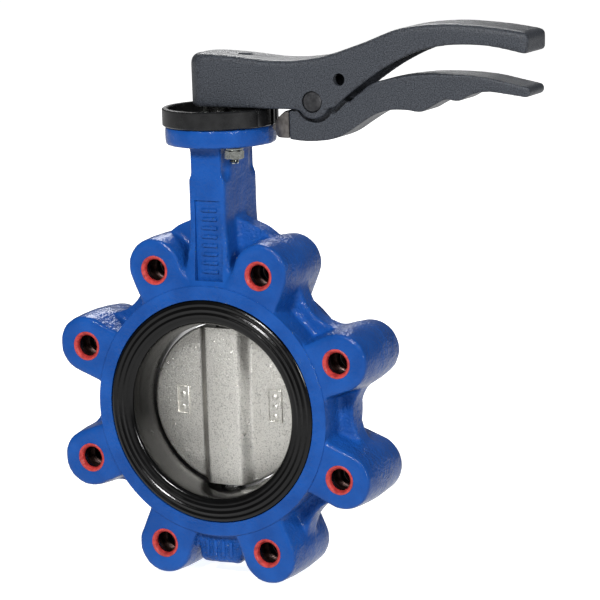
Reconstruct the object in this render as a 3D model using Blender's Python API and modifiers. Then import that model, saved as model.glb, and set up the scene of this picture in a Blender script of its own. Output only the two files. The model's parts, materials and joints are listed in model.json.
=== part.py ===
"""Lug butterfly valve, DN100, worked by a lever with a squeeze trigger.

The origin is where the stem's axis crosses the pipe's axis. +Z runs up the stem, the pipe runs
along Y, and the lever points along +X with the disc closed. All sizes are in metres.
"""

import math

import bmesh
import bpy
from mathutils import Matrix, Vector

# ---- clearances -----------------------------------------------------------------------------
GAP = 0.0003                 # between pieces that touch
OVER = 0.0010             # how far a cutter or a joined shank runs past the face it meets
PAST = 0.0050             # the same where there is room for more
FAR_PAST = 0.0300
SLIVER = 0.0001           # offset that keeps two solids' faces from lying in one plane
TRIGGER_SIDE_GAP = 0.0004    # trigger to each cheek of the lever
LATCH_GAP = 0.0005           # latch tooth to the notch plate's edge, trigger half squeezed

# ---- stem and its seals ---------------------------------------------------------------------
STEM_RADIUS = 0.0070
BUSH_WALL = 0.0014
UPPER_BUSH_LENGTH = 0.022
MIDDLE_BUSH_LENGTH = 0.022
LOWER_BUSH_LENGTH = 0.018
O_RING_WIRE = 0.0015         # radius of the rubber section
STEM_SQUARE = 0.0110         # across the flats of the head
DISC_SQUARE = 0.0098         # across the flats of the drive end
HEAD_NECK_RADIUS = 0.0042    # groove under the square head
THRUST_PAD_THICKNESS = 0.0016

# ---- disc and rubber seat -------------------------------------------------------------------
DISC_RADIUS = 0.0500
DISC_HALF_CENTRE = 0.0044
DISC_HALF_EDGE = 0.0026
HUB_HALF_THICKNESS = 0.0110
HUB_HALF_WIDTH = 0.0138
HUB_END_SETBACK = 0.0025
DRIVE_DEPTH = 0.0275         # how far the stems reach into the disc
DRIVE_SQUARE_LENGTH = 0.0180
SEAT_CLEARANCE = 0.0004
LINER_WALL = 0.0093
LIP_HEIGHT = 0.0070
LIP_THICKNESS = 0.0053
LIP_PROUD = 0.0012           # liner face ahead of the machined annulus

# ---- body casting ---------------------------------------------------------------------------
LUG_HALF_LENGTH = 0.0250
ANNULUS_PROUD = 0.0008
RING_WALL = 0.0085           # outside the liner's lip
BOLT_SETBACK = 0.0145        # bolt circle outside the ring
LUG_COUNT = 8
TAP_RADIUS = 0.0070          # M16 thread, minor radius
TAP_RIM_RADIUS = 0.0088
TAP_RIM_PROUD = 0.0005
LUG_END_FRONT = 0.0170
LUG_END_MIDDLE = 0.0193
LUG_END_BACK = 0.0168
WEB_HALF_THICKNESS = 0.0065
WEB_DEPTH = 0.0085           # least height of the web outside the ring
WEB_ARC_RADIUS = 0.0255
WEB_ARC_HALF_ANGLE = 62
NECK_SIDE_WALL = 0.0025
NECK_HALF_Y = 0.0208
NECK_FLARE = 0.0042
NECK_CORNER = 0.0020
PANEL_DEPTH = 0.0013
PANEL_HALF_WIDTH = 0.0080
PANEL_LENGTH = 0.0460
PANEL_FOOT = 0.0065          # above the neck's foot
BOSS_HALF_WIDTH = 0.0140
BOSS_HALF_Y = 0.0200
BOSS_CORNER = 0.0025
BOSS_CHAMFER = 0.0022
BOSS_FLOOR = 0.0081          # metal under the lower stem
SHOULDER_RISE = 0.0385       # web's height beside the neck, above the ring

# ---- top flange and notch plate -------------------------------------------------------------
FLANGE_TOP = 0.1680          # above the pipe's axis
FLANGE_THICKNESS = 0.0108
FLANGE_BOLT_RADIUS = 0.0250  # F05 bolt circle
FLANGE_EDGE = 0.0078         # metal outside the bolt circle
BOLT_SHANK_RADIUS = 0.0030
BOLT_HEAD_FLATS = 0.0100
BOLT_HEAD_HEIGHT = 0.0040
BOLT_TIP = 0.0028            # thread past the nut
NUT_HEIGHT = 0.0050
WASHER_RADIUS = 0.0054
WASHER_THICKNESS = 0.0012
SPANNER_RADIUS = 0.0080      # room in the neck round each nut
SPANNER_ROOM = 0.0170
SPANNER_RUN_OUT = 0.0070
SPANNER_RUN_OUT_RADIUS = 0.0036
PLATE_FLOOR = 0.0037
PLATE_HEIGHT = 0.0103
PLATE_RIM = 0.0035
WASHER_ROOM = 0.00035        # washer to the inside of the rim
NOTCH_COUNT = 10
NOTCH_WIDTH = 0.0036
NOTCH_DEPTH = 0.0022
STOP_ANGLE = 19.0            # degrees past each end of the lever's quarter turn
STOP_PROUD = 0.0012
RETAINER_THICKNESS = 0.0025
RETAINER_LIP = 0.0036

# ---- lever, trigger and latch ---------------------------------------------------------------
LEVER_CLEARANCE = 0.0009     # lever above the notch plate's rim
LEVER_HALF_WIDTH = 0.0150
LEVER_HUB_RADIUS = 0.0160
LEVER_CHEEK = 0.0032
LEVER_ROOF = 0.0040
SOCKET_DEPTH = 0.0185
PIN_RADIUS = 0.0060
PIN_X = 0.0675
PIN_RISE = 0.0048            # pin's axis above the lever's underside
PIN_LOBE_WALL = 0.0042
PADLOCK_RADIUS = 0.0036
PADLOCK_X = 0.0850
PADLOCK_RISE = 0.0180
CLAMP_SCREW_X = 0.0184
CLAMP_SCREW_RADIUS = 0.0025
CLAMP_HEAD_RADIUS = 0.0042
CLAMP_HEAD_HEIGHT = 0.0040
CLAMP_HEAD_SUNK = 0.0012
CLAMP_PLATE_THICKNESS = 0.0022
CLAMP_PLATE_HALF_WIDTH = 0.0085
TRIGGER_FRONT_X = 0.0505
TRIGGER_FRONT_DROP = 0.0012   # top of the front face below the lever's underside
EAR_WALL = 0.0034            # metal round the pin
EAR_HALF_WIDTH = 0.0085      # over both ears
FORK_HALF_WIDTH = 0.00456    # room for the spring between the ears
FORK_ROOM = 0.0096           # from the pin's axis
LOBE_ROOM = 0.0022           # trigger's flanks to the lever's lobe
TOOTH_TAIL = 0.0045          # length of the tail in the trigger
TOOTH_TAIL_HALF_WIDTH = 0.0060
TOOTH_TAIL_TOP = -0.0040     # above the lever's underside
TOOTH_TAIL_BOTTOM = -0.0165
TOOTH_FACE_GAP = 0.0006      # nose to the trigger's front face
SPRING_WIRE = 0.0008
SPRING_TURNS = 3.25

# Outline points, as (x from the stem's axis, z above the lever's underside).
LEVER_TOP_LINE = (
    (0.0000, 0.0313), (0.0178, 0.0301), (0.0448, 0.0280), (0.0715, 0.0305), (0.0981, 0.0386),
    (0.1226, 0.0475), (0.1498, 0.0505), (0.1780, 0.0491), (0.2004, 0.0460),
)
LEVER_UNDER_LINE = (
    (0.1994, 0.0339), (0.1840, 0.0371), (0.1715, 0.0386), (0.1574, 0.0387), (0.1431, 0.0370),
    (0.1302, 0.0333), (0.1172, 0.0272), (0.1057, 0.0203), (0.0906, 0.0096), (0.0805, 0.0011),
)
TRIGGER_TOP_LINE = (
    (0.0889, 0.0048), (0.0965, 0.0108), (0.1040, 0.0159), (0.1154, 0.0190), (0.1283, 0.0210),
    (0.1412, 0.0220), (0.1570, 0.0219), (0.1727, 0.0208), (0.1851, 0.0185), (0.1960, 0.0163),
)
TRIGGER_UNDER_LINE = (
    (0.1974, 0.0099), (0.1835, 0.0117), (0.1741, 0.0125), (0.1647, 0.0108), (0.1567, 0.0070),
    (0.1488, 0.0075), (0.1407, 0.0037), (0.1334, 0.0002), (0.1246, 0.0010), (0.1149, 0.0008),
    (0.1051, -0.0020), (0.0951, -0.0079), (0.0850, -0.0142), (0.0750, -0.0175), (0.0616, -0.0187),
)
LOBE_ROOM_LINE = ((0.0803, -0.0024), (0.0861, 0.0032), (0.0924, 0.0081), (0.0960, 0.0130), (0.0960, 0.0300))

# The tooth, as (x from its tip, z above the lever's underside) and (x from its tip, half width).
TOOTH_SIDE = ((0.0128, -0.0014), (0.0050, -0.0074), (0.0000, -0.0118), (0.0022, -0.0150), (0.0075, -0.0172))
TOOTH_PLAN = ((-0.0010, 0.0012), (0.0030, 0.0014), (0.0042, 0.0050), (0.0083, 0.0088), (0.0128, 0.0100))

# smaller sizes of the casting
LUG_ROOT = 0.0020         # how far into the ring a lug starts, past the body's bore
LUG_DRAFT = 0.0008        # how much narrower a lug is at its root than at its round end
LUG_REACH_FRONT, LUG_REACH_MIDDLE, LUG_REACH_BACK = 0.0017, 0.0004, 0.0012
SHOULDER_PAST_LUG = 0.0040
SHOULDER_STEPS = ((0.0170, 0.0068), (0.0080, 0.0030))      # out from the neck's side, down from its top
BOSS_ROOT = 0.0060
NECK_FLARES = ((0.0, 1.0), (0.0100, 0.72), (0.0240, 0.28), (0.0420, 0.0))
LINER_MOUTH = ((0.0036, 0.0), (0.0017, 0.0025), (0.0006, 0.0075))  # out from the bore, in from the face

# smaller sizes of the hardware
RETAINER_GROOVE = STEM_RADIUS - 0.0014
HEAD_ROOM = 0.0020
STOP_INSET, STOP_HALF_WIDTH = 0.0004, 0.0030
HUB_TOP_CORNER = 0.0070
CHANNEL_LEAD = 0.0060     # how far ahead of the trigger's front face the lever's channel starts
LEVER_REACH_UP = 0.0800
CLAMP_PLATE_PAST_SCREW = 0.0065
CLAMP_PLATE_TAIL, CLAMP_PLATE_PLAY = 0.0025, 0.0010
CLAMP_KEY_FLATS, CLAMP_KEY_DEPTH = 0.0040, 0.0022
TRIGGER_FOOT_RISE = 0.0008
PIN_SUNK = 0.0002
SPRING_PLAY, SPRING_PITCH_GAP = 0.0004, 0.0002
SPRING_LEG, SPRING_LEG_END, SPRING_ROOF_ROOM = 0.0120, 0.0100, 0.0010
SPRING_LEG_LEAN, SPRING_LEG_RISE = 0.0004, 0.0085
SLATE = (0.050, 0.055, 0.065)

# ---- sizes that follow from those above -------------------------------------------------------
LINER_BORE = DISC_RADIUS + SEAT_CLEARANCE
BODY_BORE = LINER_BORE + LINER_WALL + GAP
LIP_RADIUS = BODY_BORE + LIP_HEIGHT
RING_RADIUS = LIP_RADIUS + RING_WALL
BOLT_CIRCLE_RADIUS = RING_RADIUS + BOLT_SETBACK
RING_HALF_LENGTH = LUG_HALF_LENGTH + ANNULUS_PROUD
LINER_HALF_LENGTH = RING_HALF_LENGTH + LIP_PROUD
LIP_SEAT = LINER_HALF_LENGTH - LIP_THICKNESS
STEM_HOLE = STEM_RADIUS + GAP
BUSH_RADIUS = STEM_HOLE + BUSH_WALL
STEM_BORE = BUSH_RADIUS + GAP
O_RING_CENTRE = STEM_BORE - GAP - O_RING_WIRE
O_RING_GROOVE = O_RING_CENTRE - O_RING_WIRE - GAP
NECK_HALF_X = STEM_BORE + NECK_SIDE_WALL
NECK_FOOT = RING_RADIUS - 0.0040
PANEL_BOTTOM = NECK_FOOT + PANEL_FOOT
HUB_END = DISC_RADIUS - HUB_END_SETBACK
DRIVE_END = HUB_END - DRIVE_DEPTH
DRIVE_SHOULDER = DRIVE_END + DRIVE_SQUARE_LENGTH
LOWER_BUSH_TOP = -(BODY_BORE + 2 * O_RING_WIRE + 5 * GAP)
LOWER_STEM_END = LOWER_BUSH_TOP - LOWER_BUSH_LENGTH - 0.0015
STEM_BORE_FLOOR = LOWER_STEM_END - THRUST_PAD_THICKNESS - 2 * GAP
BOSS_BOTTOM = STEM_BORE_FLOOR - BOSS_FLOOR
MIDDLE_BUSH_BOTTOM = BODY_BORE + 0.0020
MIDDLE_O_RING_Z = MIDDLE_BUSH_BOTTOM + MIDDLE_BUSH_LENGTH + O_RING_WIRE + 2 * GAP
RETAINER_SEAT = FLANGE_TOP - RETAINER_THICKNESS - 2 * GAP
RETAINER_RADIUS = STEM_RADIUS + RETAINER_LIP
UPPER_O_RING_Z = RETAINER_SEAT - 0.0045
UPPER_BUSH_TOP = UPPER_O_RING_Z - O_RING_WIRE - 4 * GAP
PLATE_BOTTOM = FLANGE_TOP + GAP
PLATE_FLOOR_TOP = PLATE_BOTTOM + PLATE_FLOOR
PLATE_TOP = PLATE_BOTTOM + PLATE_HEIGHT
BOLT_HOLE = BOLT_SHANK_RADIUS + GAP
FLANGE_RADIUS = FLANGE_BOLT_RADIUS + FLANGE_EDGE
PLATE_RADIUS = FLANGE_BOLT_RADIUS + WASHER_RADIUS + WASHER_ROOM + PLATE_RIM
LEVER_BOTTOM = PLATE_TOP + LEVER_CLEARANCE
PIN_Z = LEVER_BOTTOM + PIN_RISE
PIN_LOBE = PIN_RADIUS + PIN_LOBE_WALL
PIN_HOLE = PIN_RADIUS + GAP
CHANNEL_HALF_WIDTH = LEVER_HALF_WIDTH - LEVER_CHEEK
TOOTH_TIP_X = PLATE_RADIUS + LATCH_GAP
TOOTH_FACE_X = TRIGGER_FRONT_X - TOOTH_FACE_GAP
TOOTH_TAIL_X = TRIGGER_FRONT_X + TOOTH_TAIL
TRIGGER_HALF_WIDTH = CHANNEL_HALF_WIDTH - TRIGGER_SIDE_GAP
CLAMP_PLATE_BOTTOM = LEVER_BOTTOM + 2 * GAP
CLAMP_PLATE_TOP = CLAMP_PLATE_BOTTOM + CLAMP_PLATE_THICKNESS
CLAMP_POCKET_TOP = CLAMP_PLATE_TOP + GAP
HEAD_NECK_TOP = CLAMP_POCKET_TOP + GAP
SOCKET_TOP = LEVER_BOTTOM + SOCKET_DEPTH

SEGMENTS = 48
SMALL_SEGMENTS = 20
TAP_SEGMENTS = 16
Z_AXIS = Vector((0, 0, 1))
ALONG = {"X": Vector((1, 0, 0)), "Y": Vector((0, 1, 0)), "Z": Z_AXIS}

MATERIALS = {}


# ---- helpers ------------------------------------------------------------------------------------
def make_collection(name):
    """A new collection in the scene."""
    collection = bpy.data.collections.new(name)
    bpy.context.scene.collection.children.link(collection)
    return collection


def make_material(name, colour, roughness, metallic):
    """A Principled material, kept in MATERIALS by its name."""
    material = bpy.data.materials.new(name)
    material.use_nodes = True
    shader = material.node_tree.nodes["Principled BSDF"]
    shader.inputs["Base Color"].default_value = (*colour, 1)
    shader.inputs["Roughness"].default_value = roughness
    shader.inputs["Metallic"].default_value = metallic
    MATERIALS[name] = material


def add_object(name, mesh, material=None, parent=None):
    """Links a mesh as a part, or as a tool shape if it has no material."""
    obj = bpy.data.objects.new(name, mesh)
    if material is None:
        TOOLS.objects.link(obj)
        obj.hide_render = True
        obj.display_type = "WIRE"
    else:
        VALVE.objects.link(obj)
        mesh.materials.append(MATERIALS[material])
        obj.parent = parent
    return obj


def mesh_from(name, bm):
    """A mesh data block from a bmesh, smooth where its faces meet at under 40 degrees."""
    bmesh.ops.recalc_face_normals(bm, faces=bm.faces)
    mesh = bpy.data.meshes.new(name)
    bm.to_mesh(mesh)
    bm.free()
    mesh.shade_smooth()
    mesh.set_sharp_from_angle(angle=math.radians(40))
    return mesh


def frame_along(axis, centre):
    """The matrix that turns +Z to the axis and moves the origin to the centre."""
    turn = Z_AXIS.rotation_difference(ALONG[axis]).to_matrix().to_4x4()
    return Matrix.Translation(centre) @ turn


def rod(name, radius, low, high, axis="Z", centre=(0, 0, 0), top_radius=None, sides=SMALL_SEGMENTS,
        turn=0.0, material=None, parent=None):
    """A cylinder, cone or, with few sides, a prism, from low to high along an axis through centre."""
    bm = bmesh.new()
    middle = Vector(centre) + ALONG[axis] * (low + high) / 2
    matrix = frame_along(axis, middle) @ Matrix.Rotation(turn, 4, "Z")
    bmesh.ops.create_cone(bm, cap_ends=True, segments=sides, radius1=radius,
                          radius2=radius if top_radius is None else top_radius,
                          depth=high - low, matrix=matrix)
    return add_object(name, mesh_from(name, bm), material, parent)


def prism_across_flats(name, flats, low, high, sides, centre=(0, 0, 0), material=None, parent=None):
    """An upright square or hexagonal prism, by its size across the flats."""
    return rod(name, flats / 2 / math.cos(math.pi / sides), low, high, centre=centre, sides=sides,
               turn=math.pi / sides, material=material, parent=parent)


def block(name, low, high, material=None, parent=None):
    """A box between two corners."""
    low = Vector(low)
    high = Vector(high)
    bm = bmesh.new()
    size = Matrix.Diagonal((*(high - low), 1))
    bmesh.ops.create_cube(bm, size=1.0, matrix=Matrix.Translation((low + high) / 2) @ size)
    return add_object(name, mesh_from(name, bm), material, parent)


def torus(name, ring_radius, wire_radius, z, material, parent=None):
    """A rubber ring round the stem's axis."""
    bpy.ops.mesh.primitive_torus_add(major_segments=24, minor_segments=6, major_radius=ring_radius,
                                     minor_radius=wire_radius, location=(0, 0, z))
    made = bpy.context.object
    mesh = made.data
    mesh.transform(Matrix.Translation((0, 0, z)))
    bpy.data.objects.remove(made)
    mesh.name = name
    return add_object(name, mesh, material, parent)


def turned(name, profile, axis="Z", steps=SEGMENTS, material=None, parent=None):
    """A shape turned about an axis from (radius, height) points that run down its outer side.

    A profile that closes on itself makes a ring; one that ends on the axis makes a solid.
    """
    bm = bmesh.new()
    verts = [bm.verts.new((radius, 0, height)) for radius, height in profile]
    for first, second in zip(verts, verts[1:]):
        bm.edges.new((first, second))
    if profile[0][0] > 0:
        bm.edges.new((verts[-1], verts[0]))
    mesh = bpy.data.meshes.new(name)
    bm.to_mesh(mesh)
    bm.free()
    obj = add_object(name, mesh, material, parent)
    if axis == "Y":
        obj.rotation_euler = (-math.pi / 2, 0, 0)
    screw = obj.modifiers.new("Turn", "SCREW")
    screw.axis = "Z"
    screw.steps = steps
    screw.render_steps = steps
    screw.use_merge_vertices = True
    screw.merge_threshold = 0.00001
    return obj


def flat_shape(name, outline, low, high, plane="XZ", material=None, parent=None):
    """A flat outline with thickness: in the XZ plane between two y, or in XY between two z."""
    curve = bpy.data.curves.new(name, "CURVE")
    curve.dimensions = "2D"
    curve.fill_mode = "BOTH"
    curve.extrude = (high - low) / 2
    spline = curve.splines.new("POLY")
    spline.points.add(len(outline) - 1)
    for point, (across, up) in zip(spline.points, outline):
        point.co = (across, up, 0, 1)
    spline.use_cyclic_u = True
    holder = bpy.data.objects.new(name, curve)
    TOOLS.objects.link(holder)
    bpy.context.view_layer.update()
    evaluated = holder.evaluated_get(bpy.context.evaluated_depsgraph_get())
    mesh = bpy.data.meshes.new_from_object(evaluated)
    bpy.data.objects.remove(holder)
    bpy.data.curves.remove(curve)
    mesh.materials.clear()
    mesh.transform(Matrix.Translation((0, 0, (low + high) / 2)))
    if plane == "XZ":
        mesh.transform(Matrix.Diagonal((1, 1, -1, 1)))
        mesh.transform(Matrix.Rotation(math.pi / 2, 4, "X"))
    bm = bmesh.new()
    bm.from_mesh(mesh)
    bpy.data.meshes.remove(mesh)
    bmesh.ops.remove_doubles(bm, verts=bm.verts, dist=0.000001)
    return add_object(name, mesh_from(name, bm), material, parent)


def loft(name, sections, material=None, parent=None):
    """A closed skin over sections of equal point count, each a list of 3-D points."""
    bm = bmesh.new()
    rings = [[bm.verts.new(point) for point in section] for section in sections]
    count = len(rings[0])
    for lower, upper in zip(rings, rings[1:]):
        for i in range(count):
            j = (i + 1) % count
            bm.faces.new((lower[i], lower[j], upper[j], upper[i]))
    bm.faces.new(rings[0])
    bm.faces.new(rings[-1])
    return add_object(name, mesh_from(name, bm), material, parent)


def boolean(target, tools, operation):
    """Cuts the tools from the target, or joins them to it, in order."""
    for tool in tools:
        modifier = target.modifiers.new(f"{operation.title()} {tool.name}", "BOOLEAN")
        modifier.operation = operation
        modifier.solver = "EXACT"
        modifier.object = tool
    return target


def polar(radius, degrees):
    """A point of the XZ plane, by its radius and its angle from +X towards +Z."""
    return radius * math.cos(math.radians(degrees)), radius * math.sin(math.radians(degrees))


def arc(centre, radius, start, end, steps):
    """Points of an arc in a plane, in degrees, both ends included."""
    points = []
    for i in range(steps + 1):
        across, up = polar(radius, start + (end - start) * i / steps)
        points.append((centre[0] + across, centre[1] + up))
    return points


def smooth_line(points, per_span=3):
    """A curve through the points, with the same number of steps in each span."""
    padded = [points[0], *points, points[-1]]
    line = []
    for before, start, end, after in zip(padded, padded[1:], padded[2:], padded[3:]):
        for i in range(per_span):
            t = i / per_span
            line.append(tuple(
                0.5 * (2 * b + (c - a) * t + (2 * a - 5 * b + 4 * c - d) * t * t
                       + (3 * b - a - 3 * c + d) * t ** 3)
                for a, b, c, d in zip(before, start, end, after)))
    line.append(tuple(points[-1]))
    return line


def raised(points):
    """Outline points of the lever and trigger, lifted from the lever's underside to world z."""
    return [(x, LEVER_BOTTOM + z) for x, z in points]


def rounded_rectangle(half_x, half_y, corner, z):
    """An upright section with rounded corners, as 3-D points at height z."""
    points = []
    for sign_x, sign_y, start in ((1, 1, 0), (-1, 1, 90), (-1, -1, 180), (1, -1, 270)):
        centre = (sign_x * (half_x - corner), sign_y * (half_y - corner))
        points += [(x, y, z) for x, y in arc(centre, corner, start, start + 90, 4)]
    return points


# ---- body casting ---------------------------------------------------------------------------------
def lug_angles():
    """Angles of the lugs, half a pitch off the stem's axis."""
    pitch = 360 / LUG_COUNT
    return [pitch * (k + 0.5) for k in range(LUG_COUNT)]


def lug(angle):
    """One bolt lug: a rounded finger that tapers from its middle to both faces."""
    inner = BODY_BORE + LUG_ROOT
    along = Vector((*polar(1, angle), 0)).xzy
    across = Vector((*polar(1, angle + 90), 0)).xzy
    sections = []
    for y, end, reach in ((-LUG_HALF_LENGTH, LUG_END_FRONT, LUG_REACH_FRONT),
                          (0.0, LUG_END_MIDDLE, LUG_REACH_MIDDLE),
                          (LUG_HALF_LENGTH, LUG_END_BACK, LUG_REACH_BACK)):
        centre = BOLT_CIRCLE_RADIUS + reach
        outline = [(inner, -end + LUG_DRAFT), *arc((centre, 0), end, -90, 90, 10), (inner, end - LUG_DRAFT)]
        sections.append([along * u + across * t + ALONG["Y"] * y for u, t in outline])
    return loft(f"lug_{angle:.0f}", sections)


def web_outline():
    """The plate between the lugs, hollowed by an arc in each gap."""
    centre_radius = RING_RADIUS + WEB_DEPTH + WEB_ARC_RADIUS
    outline = []
    for k in range(LUG_COUNT):
        angle = 360 / LUG_COUNT * k
        outline += arc(polar(centre_radius, angle), WEB_ARC_RADIUS, angle + 180 + WEB_ARC_HALF_ANGLE,
                       angle + 180 - WEB_ARC_HALF_ANGLE, 10)
    return outline


def shoulder_outline():
    """The web where it climbs from the two top lugs to the neck."""
    top = RING_RADIUS + SHOULDER_RISE
    lug_x, lug_z = polar(BOLT_CIRCLE_RADIUS, 90 - 180 / LUG_COUNT)
    half = [(lug_x + SHOULDER_PAST_LUG, NECK_FOOT), (lug_x + SHOULDER_PAST_LUG, lug_z + LUG_END_MIDDLE * 0.85),
            *((NECK_HALF_X + across, top - down) for across, down in SHOULDER_STEPS),
            (NECK_HALF_X, top)]
    return half + [(-x, z) for x, z in reversed(half)]


def boss_sections():
    """The bottom boss, narrower towards its foot, as two stacked sections."""
    top = -(RING_RADIUS - BOSS_ROOT)
    return [
        rounded_rectangle(BOSS_HALF_WIDTH - BOSS_CHAMFER, BOSS_HALF_Y - BOSS_CHAMFER, BOSS_CORNER, BOSS_BOTTOM),
        rounded_rectangle(BOSS_HALF_WIDTH, BOSS_HALF_Y, BOSS_CORNER, BOSS_BOTTOM + BOSS_CHAMFER),
        rounded_rectangle(BOSS_HALF_WIDTH, BOSS_HALF_Y, BOSS_CORNER, top),
    ]


def neck_sections():
    """The neck, flared where it grows out of the ring."""
    under_flange = FLANGE_TOP - FLANGE_THICKNESS + OVER
    sections = []
    heights = [(NECK_FOOT + rise, flare) for rise, flare in NECK_FLARES]
    for z, flare in [*heights, (under_flange, 0.0)]:
        grow = NECK_FLARE * flare
        sections.append(rounded_rectangle(NECK_HALF_X + grow, NECK_HALF_Y + grow * 0.8, NECK_CORNER, z))
    return sections


def flange_bolt_points():
    """The four corners of the flange's bolt circle."""
    reach = FLANGE_BOLT_RADIUS / math.sqrt(2)
    return [(sx * reach, sy * reach) for sx, sy in ((1, -1), (-1, 1), (1, 1), (-1, -1))]


def make_body():
    """The lug body with its neck and top flange, cast in one piece and then machined."""
    ring = RING_HALF_LENGTH
    body = rod("valve_body", RING_RADIUS, -ring, ring, axis="Y", sides=64, material="blue_epoxy")
    cast = [lug(angle) for angle in lug_angles()]
    cast.append(flat_shape("web", web_outline(), -WEB_HALF_THICKNESS, WEB_HALF_THICKNESS))
    cast.append(flat_shape("shoulder", shoulder_outline(), -WEB_HALF_THICKNESS + SLIVER,
                           WEB_HALF_THICKNESS - SLIVER))
    cast.append(loft("boss", boss_sections()))
    cast.append(loft("neck", neck_sections()))
    cast.append(rod("flange", FLANGE_RADIUS, FLANGE_TOP - FLANGE_THICKNESS, FLANGE_TOP, sides=SEGMENTS))
    rim = LUG_HALF_LENGTH + TAP_RIM_PROUD
    for angle in lug_angles():
        x, z = polar(BOLT_CIRCLE_RADIUS, angle)
        cast.append(rod(f"tap_rim_{angle:.0f}", TAP_RIM_RADIUS, -rim, rim, axis="Y", centre=(x, 0, z)))
    boolean(body, cast, "UNION")

    through = LUG_HALF_LENGTH + PAST
    cuts = [rod("bore", BODY_BORE, -through, through, axis="Y", sides=SEGMENTS)]
    for side in (-1, 1):
        low, high = sorted((side * (LIP_SEAT - GAP), side * through))
        cuts.append(rod(f"lip_seat_{side}", LIP_RADIUS + GAP, low, high, axis="Y", sides=SEGMENTS))
    for angle in lug_angles():
        x, z = polar(BOLT_CIRCLE_RADIUS, angle)
        cuts.append(rod(f"tap_{angle:.0f}", TAP_RADIUS, -through, through, axis="Y", centre=(x, 0, z),
                        sides=TAP_SEGMENTS))
    cuts.append(rod("stem_bore", STEM_BORE, STEM_BORE_FLOOR, FLANGE_TOP + PAST))
    cuts.append(rod("retainer_seat", RETAINER_RADIUS + GAP, RETAINER_SEAT, FLANGE_TOP + PAST))
    under = FLANGE_TOP - FLANGE_THICKNESS
    for i, (x, y) in enumerate(flange_bolt_points()):
        cuts.append(rod(f"spanner_room_{i}", SPANNER_RADIUS, under - SPANNER_ROOM, under, centre=(x, y, 0)))
        cuts.append(rod(f"spanner_run_out_{i}", SPANNER_RUN_OUT_RADIUS,
                        under - SPANNER_ROOM - SPANNER_RUN_OUT, under - SPANNER_ROOM + SLIVER,
                        centre=(x, y, 0), top_radius=SPANNER_RADIUS))
        cuts.append(rod(f"flange_hole_{i}", BOLT_HOLE, under - OVER, FLANGE_TOP + OVER, centre=(x, y, 0)))
    cuts.append(block("panel", (-PANEL_HALF_WIDTH, -NECK_HALF_Y - FAR_PAST, PANEL_BOTTOM),
                      (PANEL_HALF_WIDTH, -NECK_HALF_Y + PANEL_DEPTH, PANEL_BOTTOM + PANEL_LENGTH)))
    boolean(body, cuts, "DIFFERENCE")
    return body


# ---- seat, disc and stems ---------------------------------------------------------------------------
def make_liner():
    """The rubber seat: lines the bore and folds over both faces, pierced for the stems."""
    half = LINER_HALF_LENGTH
    lip = LIP_RADIUS
    back = BODY_BORE - GAP
    taper = half * 0.45
    profile = [
        (lip, half), (lip, LIP_SEAT), (back, LIP_SEAT), (back, -LIP_SEAT), (lip, -LIP_SEAT), (lip, -half),
        *((LINER_BORE + out, down - half) for out, down in LINER_MOUTH),
        (LINER_BORE, -taper), (LINER_BORE, taper),
        *((LINER_BORE + out, half - down) for out, down in reversed(LINER_MOUTH)),
    ]
    liner = turned("seat_liner", profile, axis="Y", material="black_rubber")
    reach = BODY_BORE + PAST
    boolean(liner, [rod("liner_stem_hole", STEM_HOLE, -reach, reach)], "DIFFERENCE")
    return liner


def hub_outline():
    """Half of the hub's hump in plan, mirrored front to back."""
    front = [(HUB_HALF_WIDTH, DISC_HALF_CENTRE * 0.7), (HUB_HALF_WIDTH * 0.80, DISC_HALF_CENTRE * 1.35)]
    centre = (0, 0)
    front += [(x, y) for x, y in arc(centre, HUB_HALF_THICKNESS, 42, 138, 8)]
    front += [(-HUB_HALF_WIDTH * 0.80, DISC_HALF_CENTRE * 1.35), (-HUB_HALF_WIDTH, DISC_HALF_CENTRE * 0.7)]
    return front + [(x, -y) for x, y in reversed(front)]


def make_disc():
    """The closing disc: a thin lens with a rounded hub along the stem, blind at each stem end."""
    edge_radius = math.sqrt(DISC_RADIUS ** 2 - DISC_HALF_EDGE ** 2)
    profile = [
        (0, DISC_HALF_CENTRE), (HUB_HALF_WIDTH, DISC_HALF_CENTRE), (edge_radius * 0.75, DISC_HALF_CENTRE * 0.8),
        (edge_radius, DISC_HALF_EDGE), (DISC_RADIUS, 0), (edge_radius, -DISC_HALF_EDGE),
        (edge_radius * 0.75, -DISC_HALF_CENTRE * 0.8), (HUB_HALF_WIDTH, -DISC_HALF_CENTRE),
        (0, -DISC_HALF_CENTRE),
    ]
    disc = turned("disc", profile, axis="Y", material="stainless", parent=LEVER_AXIS)
    hub = flat_shape("hub", hub_outline(), -HUB_END, HUB_END, plane="XY")
    boolean(disc, [hub], "UNION")
    beyond = DISC_RADIUS + PAST
    square = prism_across_flats("drive_socket", DISC_SQUARE + 2 * GAP, DRIVE_END, beyond, 4)
    cuts = [square, rod("upper_stem_socket", STEM_HOLE, DRIVE_SHOULDER, beyond),
            rod("lower_stem_socket", STEM_HOLE, -beyond, -DRIVE_END)]
    boolean(disc, cuts, "DIFFERENCE")
    return disc


def groove(radius, z, half_width):
    """A ring-shaped cutter that leaves the stem at a smaller radius."""
    outer = STEM_RADIUS + PAST
    profile = [(outer, z + half_width), (outer, z - half_width), (radius, z - half_width),
               (radius, z + half_width)]
    return turned(f"groove_{z * 1000:.0f}", profile, steps=SMALL_SEGMENTS)


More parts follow.
